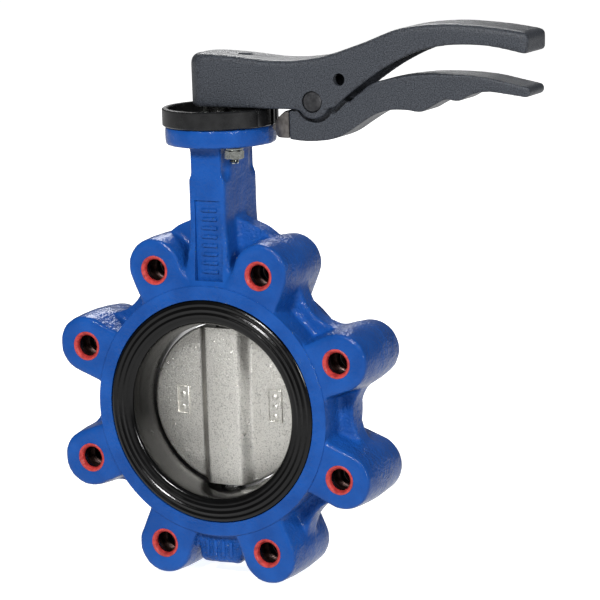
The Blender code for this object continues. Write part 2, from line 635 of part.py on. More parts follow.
def make_upper_stem():
    """The drive stem: square end in the disc, grooves for seals and retainer, square head."""
    neck_bottom = LEVER_BOTTOM
    head_top = SOCKET_TOP - HEAD_ROOM
    stem = rod("upper_stem", STEM_RADIUS, DRIVE_SHOULDER + 2 * GAP, neck_bottom, sides=32,
               material="stem_steel", parent=LEVER_AXIS)
    square = prism_across_flats("drive_square", DISC_SQUARE, DRIVE_END + GAP,
                                DRIVE_SHOULDER + 2 * GAP + OVER, 4)
    neck = rod("head_neck", HEAD_NECK_RADIUS, neck_bottom - OVER, HEAD_NECK_TOP + OVER)
    head = prism_across_flats("head_square", STEM_SQUARE, HEAD_NECK_TOP, head_top, 4)
    corners = rod("head_corners", STEM_RADIUS, HEAD_NECK_TOP - OVER, head_top + OVER, sides=32)
    boolean(head, [corners], "INTERSECT")
    boolean(stem, [square, neck, head], "UNION")
    ring_room = O_RING_WIRE + GAP
    retainer_z = RETAINER_SEAT + RETAINER_THICKNESS / 2 + GAP
    grooves = [groove(O_RING_GROOVE, UPPER_O_RING_Z, ring_room), groove(O_RING_GROOVE, MIDDLE_O_RING_Z, ring_room),
               groove(RETAINER_GROOVE, retainer_z, RETAINER_THICKNESS / 2 + GAP)]
    boolean(stem, grooves, "DIFFERENCE")
    return stem


def make_lower_stem():
    """The stub stem that carries the disc in the bottom boss."""
    stem = rod("lower_stem", STEM_RADIUS, LOWER_STEM_END, -DRIVE_END - 2 * GAP, sides=32,
               material="stem_steel", parent=LEVER_AXIS)
    z = LOWER_BUSH_TOP + O_RING_WIRE + 2 * GAP
    boolean(stem, [groove(O_RING_GROOVE, z, O_RING_WIRE + GAP)], "DIFFERENCE")
    return stem


def make_stem_furniture():
    """Bushes, rubber rings, the thrust pad and the split retaining ring."""
    for name, low, length in (("upper_bush", UPPER_BUSH_TOP - UPPER_BUSH_LENGTH, UPPER_BUSH_LENGTH),
                              ("middle_bush", MIDDLE_BUSH_BOTTOM, MIDDLE_BUSH_LENGTH),
                              ("lower_bush", LOWER_BUSH_TOP - LOWER_BUSH_LENGTH, LOWER_BUSH_LENGTH)):
        high = low + length
        profile = [(BUSH_RADIUS, high), (BUSH_RADIUS, low), (STEM_HOLE, low), (STEM_HOLE, high)]
        turned(name, profile, steps=32, material="bronze")
    lower_z = LOWER_BUSH_TOP + O_RING_WIRE + 2 * GAP
    for name, z in (("upper_o_ring", UPPER_O_RING_Z), ("middle_o_ring", MIDDLE_O_RING_Z),
                    ("lower_o_ring", lower_z)):
        torus(name, O_RING_CENTRE, O_RING_WIRE, z, "black_rubber", LEVER_AXIS)
    pad_top = LOWER_STEM_END - GAP
    rod("lower_thrust_pad", STEM_BORE - GAP, pad_top - THRUST_PAD_THICKNESS, pad_top, material="white_ptfe")
    low = RETAINER_SEAT + GAP
    high = low + RETAINER_THICKNESS
    inner = RETAINER_GROOVE + GAP
    ring = turned("stem_retaining_ring", [(RETAINER_RADIUS, high), (RETAINER_RADIUS, low), (inner, low),
                                          (inner, high)], steps=32, material="zinc")
    slot = block("retainer_slot", (0, -inner, low - OVER), (RETAINER_RADIUS + PAST, inner, high + OVER))
    boolean(ring, [slot], "DIFFERENCE")


# ---- top flange hardware ------------------------------------------------------------------------------
def make_notch_plate():
    """The rimmed plate with ten notches over the quarter turn and a stop past each end."""
    outer = PLATE_RADIUS
    inner = PLATE_RADIUS - PLATE_RIM
    profile = [(outer, PLATE_TOP), (outer, PLATE_BOTTOM), (STEM_HOLE + GAP, PLATE_BOTTOM),
               (STEM_HOLE + GAP, PLATE_FLOOR_TOP), (inner, PLATE_FLOOR_TOP), (inner, PLATE_TOP)]
    plate = turned("notch_plate", profile, material="black_plate")
    stops = []
    for angle in (-STOP_ANGLE, 90 + STOP_ANGLE):
        shape = block(f"stop_{angle:.0f}", (inner + STOP_INSET, -STOP_HALF_WIDTH, PLATE_BOTTOM + STOP_INSET),
                      (outer + STOP_PROUD, STOP_HALF_WIDTH, PLATE_TOP - STOP_INSET))
        shape.data.transform(Matrix.Rotation(math.radians(angle), 4, "Z"))
        stops.append(shape)
    boolean(plate, stops, "UNION")
    cuts = []
    for k in range(NOTCH_COUNT):
        angle = math.radians(90 * k / (NOTCH_COUNT - 1))
        cut = block(f"notch_{k}", (outer - NOTCH_DEPTH, -NOTCH_WIDTH / 2, PLATE_BOTTOM - OVER),
                    (outer + PAST, NOTCH_WIDTH / 2, PLATE_TOP + OVER))
        cut.data.transform(Matrix.Rotation(angle, 4, "Z"))
        cuts.append(cut)
    for i, (x, y) in enumerate(flange_bolt_points()[:2]):
        cuts.append(rod(f"plate_hole_{i}", BOLT_HOLE, PLATE_BOTTOM - OVER, PLATE_FLOOR_TOP + OVER,
                        centre=(x, y, 0)))
    boolean(plate, cuts, "DIFFERENCE")
    return plate


def make_plate_fasteners():
    """Two bolts with a washer at each end and a nut below the flange."""
    under = FLANGE_TOP - FLANGE_THICKNESS
    nut_top = under - WASHER_THICKNESS - 2 * GAP
    head_bottom = PLATE_FLOOR_TOP + WASHER_THICKNESS + 2 * GAP
    for i, (x, y) in enumerate(flange_bolt_points()[:2], start=1):
        centre = (x, y, 0)
        bolt = prism_across_flats(f"notch_plate_bolt_{i}", BOLT_HEAD_FLATS, head_bottom,
                                  head_bottom + BOLT_HEAD_HEIGHT, 6, centre, "zinc")
        shank = rod(f"bolt_shank_{i}", BOLT_SHANK_RADIUS, nut_top - NUT_HEIGHT - BOLT_TIP,
                    head_bottom + OVER, centre=centre)
        boolean(bolt, [shank], "UNION")
        nut = prism_across_flats(f"notch_plate_nut_{i}", BOLT_HEAD_FLATS, nut_top - NUT_HEIGHT,
                                 nut_top, 6, centre, "zinc")
        boolean(nut, [rod(f"nut_hole_{i}", BOLT_HOLE, nut_top - NUT_HEIGHT - OVER, nut_top + OVER,
                          centre=centre)], "DIFFERENCE")
        for name, low in (("head_washer", PLATE_FLOOR_TOP + GAP), ("nut_washer", nut_top + GAP)):
            washer = rod(f"{name}_{i}", WASHER_RADIUS, low, low + WASHER_THICKNESS, centre=centre,
                         material="zinc")
            boolean(washer, [rod(f"{name}_hole_{i}", BOLT_HOLE, low - OVER, low + WASHER_THICKNESS + OVER,
                                 centre=centre)], "DIFFERENCE")


# ---- lever ----------------------------------------------------------------------------------------------
def lever_outline():
    """The lever from the side: hub, lobe round the pivot pin, and the swept grip."""
    corner = HUB_TOP_CORNER
    left = -LEVER_HUB_RADIUS
    top = LEVER_BOTTOM + LEVER_TOP_LINE[0][1]
    outline = arc((left + corner, top - corner), corner, 180, 90, 4)
    outline += raised(smooth_line(LEVER_TOP_LINE))
    outline += raised(smooth_line(LEVER_UNDER_LINE))
    lobe_left = 180 + math.degrees(math.asin(PIN_RISE / PIN_LOBE))
    outline += arc((PIN_X, PIN_Z), PIN_LOBE, -18, lobe_left - 360, 10)
    outline.append((left, LEVER_BOTTOM))
    return outline


def lever_plan():
    """The lever from above: a round hub end and straight sides."""
    reach = LEVER_TOP_LINE[-1][0] + PAST
    side = math.degrees(math.asin(LEVER_HALF_WIDTH / LEVER_HUB_RADIUS))
    plan = arc((0, 0), LEVER_HUB_RADIUS, 180 - side, 180 + side, 12)
    return plan + [(reach, -LEVER_HALF_WIDTH), (reach, LEVER_HALF_WIDTH)]


def channel_outline():
    """The hollow under the lever: the roof follows the top line a wall below it."""
    end_x = LEVER_UNDER_LINE[0][0] - LEVER_ROOF
    start_x = TRIGGER_FRONT_X - CHANNEL_LEAD
    roof = [(x, z - LEVER_ROOF) for x, z in raised(smooth_line(LEVER_TOP_LINE)) if start_x < x < end_x]
    low = LEVER_BOTTOM - FAR_PAST
    return [(start_x, low), (start_x, roof[0][1]), *roof, (end_x, roof[-1][1]), (end_x, low)]


def lever_top_at(x):
    """World z of the lever's top line at x."""
    line = raised(smooth_line(LEVER_TOP_LINE, 8))
    for (x0, z0), (x1, z1) in zip(line, line[1:]):
        if x0 <= x <= x1:
            return z0 + (z1 - z0) * (x - x0) / (x1 - x0)
    return line[-1][1]


def make_lever():
    """The lever with its clamp plate and clamp screw."""
    width = LEVER_HALF_WIDTH + PAST
    lever = flat_shape("lever_handle", lever_outline(), -LEVER_HALF_WIDTH, LEVER_HALF_WIDTH,
                       material="slate_lever", parent=LEVER_AXIS)
    top = LEVER_BOTTOM + LEVER_REACH_UP
    plan = flat_shape("lever_plan", lever_plan(), LEVER_BOTTOM - FAR_PAST, top, plane="XY")
    boolean(lever, [plan], "INTERSECT")
    screw_top = lever_top_at(CLAMP_SCREW_X) - CLAMP_HEAD_SUNK
    head_bottom = screw_top - CLAMP_HEAD_HEIGHT
    spot = (CLAMP_SCREW_X, 0, 0)
    plate_end = CLAMP_SCREW_X + CLAMP_PLATE_PAST_SCREW
    plate_side = CLAMP_PLATE_HALF_WIDTH
    pocket_low = LEVER_BOTTOM - OVER
    cuts = [
        flat_shape("channel", channel_outline(), -CHANNEL_HALF_WIDTH, CHANNEL_HALF_WIDTH),
        prism_across_flats("head_socket", STEM_SQUARE + 2 * GAP, pocket_low, SOCKET_TOP, 4),
        block("clamp_pocket", (-STEM_RADIUS - CLAMP_PLATE_TAIL - CLAMP_PLATE_PLAY, -plate_side - GAP, pocket_low),
              (plate_end + GAP, plate_side + GAP, CLAMP_POCKET_TOP)),
        rod("clamp_screw_hole", CLAMP_SCREW_RADIUS + GAP, pocket_low, top, centre=spot),
        rod("clamp_head_room", CLAMP_HEAD_RADIUS + GAP, head_bottom - GAP, top, centre=spot),
        rod("pin_hole", PIN_HOLE, -width, width, axis="Y", centre=(PIN_X, 0, PIN_Z), sides=32),
        rod("padlock_hole", PADLOCK_RADIUS, -width, width, axis="Y",
            centre=(PADLOCK_X, 0, LEVER_BOTTOM + PADLOCK_RISE)),
    ]
    boolean(lever, cuts, "DIFFERENCE")

    plate = block("lever_clamp_plate", (-STEM_RADIUS - CLAMP_PLATE_TAIL, -plate_side, CLAMP_PLATE_BOTTOM),
                  (plate_end, plate_side, CLAMP_PLATE_TOP), "zinc", LEVER_AXIS)
    slot_half = HEAD_NECK_RADIUS + GAP
    slot = block("clamp_slot", (-FAR_PAST, -slot_half, CLAMP_PLATE_BOTTOM - OVER),
                 (slot_half, slot_half, CLAMP_PLATE_TOP + OVER))
    tapped = rod("clamp_tapped", CLAMP_SCREW_RADIUS + GAP, CLAMP_PLATE_BOTTOM - OVER,
                 CLAMP_PLATE_TOP + OVER, centre=spot)
    boolean(plate, [slot, tapped], "DIFFERENCE")

    screw = rod("lever_clamp_screw", CLAMP_HEAD_RADIUS, head_bottom, screw_top, centre=spot,
                material="black_steel", parent=LEVER_AXIS)
    shank = rod("clamp_shank", CLAMP_SCREW_RADIUS, CLAMP_PLATE_BOTTOM, head_bottom + OVER, centre=spot)
    boolean(screw, [shank], "UNION")
    key = prism_across_flats("clamp_key", CLAMP_KEY_FLATS, screw_top - CLAMP_KEY_DEPTH, screw_top + OVER, 6, spot)
    boolean(screw, [key], "DIFFERENCE")
    return lever


# ---- trigger, pin, tooth and spring ---------------------------------------------------------------------
def trigger_outline():
    """The trigger from the side: front face, ears round the pin, then the grip with its scallops."""
    front_bottom = LEVER_BOTTOM + TRIGGER_UNDER_LINE[-1][1] + TRIGGER_FOOT_RISE
    outline = [(TRIGGER_FRONT_X, front_bottom), (TRIGGER_FRONT_X, LEVER_BOTTOM - TRIGGER_FRONT_DROP)]
    outline += arc((PIN_X, PIN_Z), PIN_RADIUS + EAR_WALL, 200, 10, 12)
    outline += raised(smooth_line(TRIGGER_TOP_LINE))
    tip = ((TRIGGER_TOP_LINE[-1][0] + TRIGGER_UNDER_LINE[0][0]) / 2,
           LEVER_BOTTOM + (TRIGGER_TOP_LINE[-1][1] + TRIGGER_UNDER_LINE[0][1]) / 2)
    radius = (TRIGGER_TOP_LINE[-1][1] - TRIGGER_UNDER_LINE[0][1]) / 2
    outline += arc(tip, radius, 60, -60, 4)
    outline += raised(smooth_line(TRIGGER_UNDER_LINE, 2))
    return outline


def lobe_room_outline():
    """What is taken off both flanks of the trigger, so that they clear the lever's lobe."""
    outline = arc((PIN_X, PIN_Z), PIN_LOBE + LOBE_ROOM, 180, 325, 12)
    outline += raised(LOBE_ROOM_LINE)
    return [*outline, (outline[0][0], outline[-1][1])]


def make_trigger():
    """The squeeze grip, forked round the pin, with a slot for the tooth."""
    half = TRIGGER_HALF_WIDTH
    trigger = flat_shape("trigger", trigger_outline(), -half, half, material="slate_trigger")
    tooth_side = TOOTH_TAIL_HALF_WIDTH + GAP
    cuts = [
        rod("trigger_bore", PIN_HOLE, -half - PAST, half + PAST, axis="Y", centre=(PIN_X, 0, PIN_Z), sides=32),
        block("spring_room", (PIN_X - FORK_ROOM, -FORK_HALF_WIDTH, PIN_Z - FORK_ROOM),
              (PIN_X + FORK_ROOM, FORK_HALF_WIDTH, PIN_Z + FAR_PAST)),
        block("tooth_slot", (TRIGGER_FRONT_X - FAR_PAST, -tooth_side, LEVER_BOTTOM + TOOTH_TAIL_BOTTOM - GAP),
              (TOOTH_TAIL_X + GAP, tooth_side, LEVER_BOTTOM + TOOTH_TAIL_TOP + GAP)),
        flat_shape("lobe_room_front", lobe_room_outline(), -half - PAST, -EAR_HALF_WIDTH),
        flat_shape("lobe_room_back", lobe_room_outline(), EAR_HALF_WIDTH, half + PAST),
    ]
    boolean(trigger, cuts, "DIFFERENCE")
    return trigger


def make_tooth():
    """The latch tooth: a steel nose that narrows to its tip, its tail in the trigger's slot."""
    side = raised([(TOOTH_TIP_X + x, z) for x, z in TOOTH_SIDE])
    outline = [(TOOTH_FACE_X, side[0][1]), *side, (TOOTH_FACE_X, side[-1][1])]
    widest = TOOTH_PLAN[-1][1]
    tooth = flat_shape("latch_tooth", outline, -widest, widest, material="tooth_steel")
    flank = [(TOOTH_TIP_X + x, half) for x, half in TOOTH_PLAN]
    flank.append((TOOTH_TAIL_X, widest + PAST))
    plan = flat_shape("tooth_plan", [*flank, *((x, -half) for x, half in reversed(flank))],
                      LEVER_BOTTOM - FAR_PAST, LEVER_BOTTOM + PAST, plane="XY")
    boolean(tooth, [plan], "INTERSECT")
    tail = block("tooth_tail", (TOOTH_FACE_X - OVER, -TOOTH_TAIL_HALF_WIDTH, LEVER_BOTTOM + TOOTH_TAIL_BOTTOM),
                 (TOOTH_TAIL_X, TOOTH_TAIL_HALF_WIDTH, LEVER_BOTTOM + TOOTH_TAIL_TOP))
    boolean(tooth, [tail], "UNION")
    return tooth


def make_pin():
    """The trigger's pivot pin, held in both cheeks of the lever."""
    reach = LEVER_HALF_WIDTH - PIN_SUNK
    return rod("trigger_pin", PIN_RADIUS, -reach, reach, axis="Y", centre=(PIN_X, 0, PIN_Z), sides=32,
               material="pin_steel", parent=LEVER_AXIS)


def make_spring():
    """The torsion spring round the pin, one leg on the lever's roof and one on the trigger."""
    coil = PIN_RADIUS + GAP + SPRING_PLAY + SPRING_WIRE
    pitch = 2 * SPRING_WIRE + SPRING_PITCH_GAP
    steps = int(SPRING_TURNS * 12)
    half = SPRING_TURNS * pitch / 2
    points = []
    for i in range(steps + 1):
        share = i / steps
        across, up = polar(coil, 100 + 360 * SPRING_TURNS * share)
        points.append((PIN_X + across, -half + 2 * half * share, PIN_Z + up))
    roof = lever_top_at(PIN_X - SPRING_LEG) - LEVER_ROOF - SPRING_WIRE - 4 * GAP
    points.insert(0, (PIN_X - SPRING_LEG_END, -half, roof - SPRING_ROOF_ROOM))
    last = points[-1]
    points.append((last[0] + SPRING_LEG_LEAN, last[1], last[2] + SPRING_LEG_RISE))
    curve = bpy.data.curves.new("trigger_spring", "CURVE")
    curve.dimensions = "3D"
    curve.bevel_depth = SPRING_WIRE
    curve.bevel_resolution = 1
    curve.use_fill_caps = True
    spline = curve.splines.new("POLY")
    spline.points.add(len(points) - 1)
    for point, place in zip(spline.points, points):
        point.co = (*place, 1)
    curve.materials.append(MATERIALS["spring_steel"])
    spring = bpy.data.objects.new("trigger_spring", curve)
    VALVE.objects.link(spring)
    spring.parent = LEVER_AXIS
    return spring


def make_joint_axis(name, location):
    """An empty on a joint's axis."""
    empty = bpy.data.objects.new(name, None)
    empty.empty_display_size = FAR_PAST
    empty.location = location
    VALVE.objects.link(empty)
    return empty


def move_to_trigger_axis():
    """Hangs the trigger's pieces, and the shapes that cut them, on the pivot's empty."""
    pivot = Vector((PIN_X, 0, PIN_Z))
    for piece in TRIGGER_PIECES:
        tools = [modifier.object for modifier in piece.modifiers if modifier.type == "BOOLEAN"]
        for obj in (piece, *tools):
            obj.data.transform(Matrix.Translation(-pivot))
            obj.parent = TRIGGER_AXIS


for old in list(bpy.data.objects):
    bpy.data.objects.remove(old, do_unlink=True)
VALVE = make_collection("butterfly_valve")
TOOLS = make_collection("tool_shapes")
make_material("blue_epoxy", (0.03, 0.14, 0.50), 0.25, 0.0)
make_material("black_rubber", (0.02, 0.02, 0.02), 0.35, 0.0)
make_material("stainless", (0.42, 0.39, 0.36), 0.40, 1.0)
make_material("stem_steel", (0.50, 0.50, 0.50), 0.30, 1.0)
make_material("bronze", (0.45, 0.30, 0.14), 0.40, 1.0)
make_material("white_ptfe", (0.85, 0.85, 0.83), 0.50, 0.0)
make_material("black_plate", (0.015, 0.015, 0.017), 0.45, 0.0)
make_material("zinc", (0.60, 0.61, 0.58), 0.35, 1.0)
make_material("black_steel", (0.03, 0.03, 0.03), 0.40, 0.5)
make_material("slate_lever", SLATE, 0.55, 0.0)
make_material("slate_trigger", SLATE, 0.55, 0.0)
make_material("tooth_steel", (0.10, 0.10, 0.10), 0.45, 0.6)
make_material("pin_steel", (0.06, 0.065, 0.07), 0.50, 0.4)
make_material("spring_steel", (0.40, 0.40, 0.40), 0.30, 1.0)

LEVER_AXIS = make_joint_axis("lever_turn_axis", (0, 0, 0))
TRIGGER_AXIS = make_joint_axis("trigger_squeeze_axis", (PIN_X, 0, PIN_Z))

make_body()
make_liner()
make_disc()
make_upper_stem()
make_lower_stem()
make_stem_furniture()
make_notch_plate()
make_plate_fasteners()
make_lever()
TRIGGER_PIECES = (make_trigger(), make_tooth())
move_to_trigger_axis()
make_pin()
make_spring()
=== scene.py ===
"""Finished look of a DN100 lug butterfly valve worked by a lever with a squeeze trigger.

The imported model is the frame: it gives every place and every joint. Each class below builds one
sub-assembly over it, in metres, with the origin where the stem crosses the pipe's axis, the pipe
along Y and the lever along +X.
"""

from __future__ import annotations

import json
import logging
import math
from dataclasses import dataclass, field
from enum import Enum
from typing import Callable, Iterable, Sequence

import bmesh
import bpy
from mathutils import Matrix, Vector, noise

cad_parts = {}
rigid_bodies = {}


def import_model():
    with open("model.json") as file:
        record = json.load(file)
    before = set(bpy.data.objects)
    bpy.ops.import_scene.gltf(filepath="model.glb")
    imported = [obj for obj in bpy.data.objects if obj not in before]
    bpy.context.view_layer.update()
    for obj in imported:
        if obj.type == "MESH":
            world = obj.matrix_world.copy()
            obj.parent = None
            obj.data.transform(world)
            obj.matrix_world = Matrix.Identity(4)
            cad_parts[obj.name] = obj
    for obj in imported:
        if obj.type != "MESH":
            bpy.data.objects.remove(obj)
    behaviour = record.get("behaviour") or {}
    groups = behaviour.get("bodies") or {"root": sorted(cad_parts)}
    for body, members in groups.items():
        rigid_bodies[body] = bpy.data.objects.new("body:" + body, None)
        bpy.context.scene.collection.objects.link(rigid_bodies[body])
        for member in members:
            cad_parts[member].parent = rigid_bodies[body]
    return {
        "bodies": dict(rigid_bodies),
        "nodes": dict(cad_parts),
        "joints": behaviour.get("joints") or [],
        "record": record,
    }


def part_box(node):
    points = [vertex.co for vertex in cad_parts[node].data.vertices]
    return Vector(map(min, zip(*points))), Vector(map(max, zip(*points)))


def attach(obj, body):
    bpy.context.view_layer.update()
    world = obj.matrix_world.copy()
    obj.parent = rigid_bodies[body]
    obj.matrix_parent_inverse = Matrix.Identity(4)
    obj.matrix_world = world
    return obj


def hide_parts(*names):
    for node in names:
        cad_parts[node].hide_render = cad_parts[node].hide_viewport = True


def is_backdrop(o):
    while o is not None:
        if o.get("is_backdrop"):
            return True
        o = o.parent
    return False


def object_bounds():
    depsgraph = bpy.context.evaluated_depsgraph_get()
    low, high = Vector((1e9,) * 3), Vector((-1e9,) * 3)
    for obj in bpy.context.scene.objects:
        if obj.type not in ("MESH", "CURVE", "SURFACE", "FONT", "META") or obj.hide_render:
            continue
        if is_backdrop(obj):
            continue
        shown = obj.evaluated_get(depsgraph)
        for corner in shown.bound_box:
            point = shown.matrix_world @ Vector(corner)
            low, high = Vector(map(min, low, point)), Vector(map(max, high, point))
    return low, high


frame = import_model()

log = logging.getLogger("butterfly_valve")

Point2 = tuple[float, float]
Colour = tuple[float, float, float]
Outline = list[Point2]
SMOOTH_ANGLE = math.radians(38)
QUARTER_TURN = math.pi / 2
BEYOND = 0.010          # how far a cutter reaches past what it cuts
BURIED = 0.001          # how deep joined shapes run into each other
SLIVER = 0.0001         # keeps two faces from lying in one plane
CLEARANCE = 0.0003      # between pieces that fit into each other
ON_AXIS = 1e-7          # a smaller radius counts as a point on the axis


class Carrier(str, Enum):
    """The bodies of the model that pieces ride on."""

    VALVE = "valve"
    LEVER = "lever_and_disc"
    TRIGGER = "trigger_arm"


class Axis(Enum):
    """The two directions that turned pieces run along."""

    PIPE = "Y"
    STEM = "Z"


class Cut(str, Enum):
    """What a solid does to another."""

    JOIN = "UNION"
    REMOVE = "DIFFERENCE"
    KEEP_COMMON = "INTERSECT"


# ---- outlines ------------------------------------------------------------------------------------


def polar(radius: float, degrees: float) -> Point2:
    """A point of a plane.

    Args:
        radius: Distance from the origin.
        degrees: Angle from the first axis towards the second.

    Returns:
        The two coordinates.
    """
    return radius * math.cos(math.radians(degrees)), radius * math.sin(math.radians(degrees))


def arc(centre: Point2, radius: float, start: float, end: float, steps: int) -> Outline:
    """Points along an arc, both ends included.

    Args:
        centre: Centre of the arc.
        radius: Its radius.
        start: First angle in degrees.
        end: Last angle in degrees.
        steps: Number of steps.

    Returns:
        The points in order.
    """
    points = []
    for i in range(steps + 1):
        across, up = polar(radius, start + (end - start) * i / steps)
        points.append((centre[0] + across, centre[1] + up))
    return points


def smooth_line(points: Sequence[Point2], per_span: int = 8) -> Outline:
    """A smooth curve through given points.

    Args:
        points: The points to pass through.
        per_span: Steps between two neighbours.

    Returns:
        The finer line.
    """
    padded = [points[0], *points, points[-1]]
    line: Outline = []
    for before, start, end, after in zip(padded, padded[1:], padded[2:], padded[3:]):
        for i in range(per_span):
            t = i / per_span
            line.append(tuple(
                0.5 * (2 * b + (c - a) * t + (2 * a - 5 * b + 4 * c - d) * t * t
                       + (3 * b - a - 3 * c + d) * t ** 3)
                for a, b, c, d in zip(before, start, end, after)))
    line.append(tuple(points[-1]))
    return line


def drawn_in(depth: float, radius: float) -> float:
    """How far a rounded edge draws a flank in.

    Args:
        depth: Distance below the face that the edge runs round.
        radius: The edge's radius.

    Returns:
        The distance, zero once the depth reaches the radius.
    """
    rest = radius - min(max(depth, 0.0), radius)
    return radius - math.sqrt(max(0.0, radius * radius - rest * rest))


def rounded_rectangle(half_x: float, half_y: float, corner: float, z: float,
                      steps: int = 8) -> list[Vector]:
    """An upright section with rounded corners.

    Args:
        half_x: Half its width.
        half_y: Half its depth.
        corner: Corner radius.
        z: Height of the section.
        steps: Steps in each corner.

    Returns:
        The section's points.
    """
    points = []
    for sign_x, sign_y, start in ((1, 1, 0), (-1, 1, 90), (-1, -1, 180), (1, -1, 270)):
        centre = (sign_x * (half_x - corner), sign_y * (half_y - corner))
        points += [Vector((x, y, z)) for x, y in arc(centre, corner, start, start + 90, steps)]
    return points


# ---- solids --------------------------------------------------------------------------------------


def add_piece(name: str, bm: bmesh.types.BMesh) -> bpy.types.Object:
    """Turns a bmesh into an object at the origin.

    Args:
        name: Name of the piece.
        bm: Its mesh, which is freed.

    Returns:
        The new object.
    """
    bmesh.ops.recalc_face_normals(bm, faces=bm.faces)
    mesh = bpy.data.meshes.new(name)
    bm.to_mesh(mesh)
    bm.free()
    piece = bpy.data.objects.new(name, mesh)
    bpy.context.scene.collection.objects.link(piece)
    return piece


def turned(name: str, profile: Outline, axis: Axis = Axis.STEM, steps: int = 96) -> bpy.types.Object:
    """A shape turned about the pipe's or the stem's axis.

    Args:
        name: Name of the piece.
        profile: Closed (radius, height) loop; a radius of zero lies on the axis.
        axis: The axis it turns about.
        steps: Facets round the axis.

    Returns:
        The closed solid.
    """
    bm = bmesh.new()
    rings = []
    for radius, height in profile:
        if radius < ON_AXIS:
            rings.append([bm.verts.new((0, 0, height))] * steps)
        else:
            rings.append([bm.verts.new((*polar(radius, 360 * i / steps), height))
                          for i in range(steps)])
    for lower, upper in zip(rings, [*rings[1:], rings[0]]):
        for i in range(steps):
            j = (i + 1) % steps
            corners = list(dict.fromkeys((lower[i], lower[j], upper[j], upper[i])))
            if len(corners) > 2:
                bm.faces.new(corners)
    if axis is Axis.PIPE:
        bmesh.ops.rotate(bm, verts=bm.verts, matrix=Matrix.Rotation(-QUARTER_TURN, 3, "X"))
    return add_piece(name, bm)


def rod(name: str, radius: float, low: float, high: float, axis: Axis = Axis.STEM,
        centre: Point2 = (0.0, 0.0), steps: int = 48,
        end_radius: float | None = None) -> bpy.types.Object:
    """A cylinder or cone parallel to the pipe's or the stem's axis.

    Args:
        name: Name of the piece.
        radius: Radius at the low end.
        low: Where it starts along the axis.
        high: Where it ends.
        axis: Its direction.
        centre: Its centre in the plane square to the axis: (x, z) or (x, y).
        steps: Facets round it.
        end_radius: Radius at the high end, if different.

    Returns:
        The closed solid.
    """
    last = radius if end_radius is None else end_radius
    piece = turned(name, [(0, low), (radius, low), (last, high), (0, high)], axis, steps)
    shift = (centre[0], 0, centre[1]) if axis is Axis.PIPE else (*centre, 0)
    piece.data.transform(Matrix.Translation(shift))
    return piece


def loft(name: str, sections: Sequence[Sequence[Vector]]) -> bpy.types.Object:
    """A closed skin over sections of equal point count.

    Args:
        name: Name of the piece.
        sections: The sections in order.

    Returns:
        The closed solid.
    """
    bm = bmesh.new()
    rings = [[bm.verts.new(point) for point in section] for section in sections]
    count = len(rings[0])
    for lower, upper in zip(rings, rings[1:]):
        for i in range(count):
            j = (i + 1) % count
            bm.faces.new((lower[i], lower[j], upper[j], upper[i]))
    bm.faces.new(rings[0])
    bm.faces.new(rings[-1])
    return add_piece(name, bm)


def side_plate(name: str, outline: Outline, low: float, high: float) -> bpy.types.Object:
    """A plate whose outline lies in the XZ plane, between two y."""
    return loft(name, [[Vector((x, y, z)) for x, z in outline] for y in (low, high)])


def plan_plate(name: str, outline: Outline, low: float, high: float) -> bpy.types.Object:
    """A plate whose outline lies in the XY plane, between two z."""
    return loft(name, [[Vector((x, y, z)) for x, y in outline] for z in (low, high)])


def block(name: str, low: Sequence[float], high: Sequence[float]) -> bpy.types.Object:
    """A box between two corners."""
    outline = [(low[0], low[1]), (high[0], low[1]), (high[0], high[1]), (low[0], high[1])]
    return plan_plate(name, outline, low[2], high[2])


def flats(name: str, across: float, low: float, high: float, sides: int,
          centre: Point2 = (0.0, 0.0)) -> bpy.types.Object:
    """An upright square or hexagonal prism.

    Args:
        name: Name of the piece.
        across: Its size across the flats.
        low: Its lower face.
        high: Its upper face.
        sides: Four or six.
        centre: Its (x, y) centre.

    Returns:
        The closed solid.
    """
    corner = across / 2 / math.cos(math.pi / sides)
    outline = [polar(corner, 360 / sides * (i + 0.5)) for i in range(sides)]
    return plan_plate(name, [(x + centre[0], y + centre[1]) for x, y in outline], low, high)


def bake(piece: bpy.types.Object) -> bpy.types.Object:
    """Applies a piece's modifiers to its mesh.

    Args:
        piece: The piece.

    Returns:
        The same piece, with no modifiers left.
    """
    evaluated = piece.evaluated_get(bpy.context.evaluated_depsgraph_get())
    mesh = bpy.data.meshes.new_from_object(evaluated)
    old = piece.data
    piece.modifiers.clear()
    piece.data = mesh
    bpy.data.meshes.remove(old)
    mesh.name = piece.name
    return piece


def combine(piece: bpy.types.Object, tools: Iterable[bpy.types.Object], cut: Cut,
            solver: str = "MANIFOLD") -> bpy.types.Object:
    """Joins, removes or intersects tool shapes, one after another, and deletes them.

    Args:
        piece: The piece that is changed.
        tools: Closed shapes.
        cut: What they do to it.
        solver: Blender's solver.

    Returns:
        The same piece.
    """
    tools = list(tools)
    for tool in tools:
        modifier = piece.modifiers.new(cut.value, "BOOLEAN")
        modifier.operation = cut.value
        modifier.solver = solver
        modifier.object = tool
    bake(piece)
    for tool in tools:
        bpy.data.objects.remove(tool)
    return piece


def merge(name: str, pieces: Sequence[bpy.types.Object]) -> bpy.types.Object:
    """Puts several meshes into one object without cutting them.

    Args:
        name: Name of the new object.
        pieces: What it is made of, which is deleted.

    Returns:
        The new object.
    """
    bm = bmesh.new()
    for piece in pieces:
        bm.from_mesh(piece.data)
        bpy.data.objects.remove(piece)
    return add_piece(name, bm)


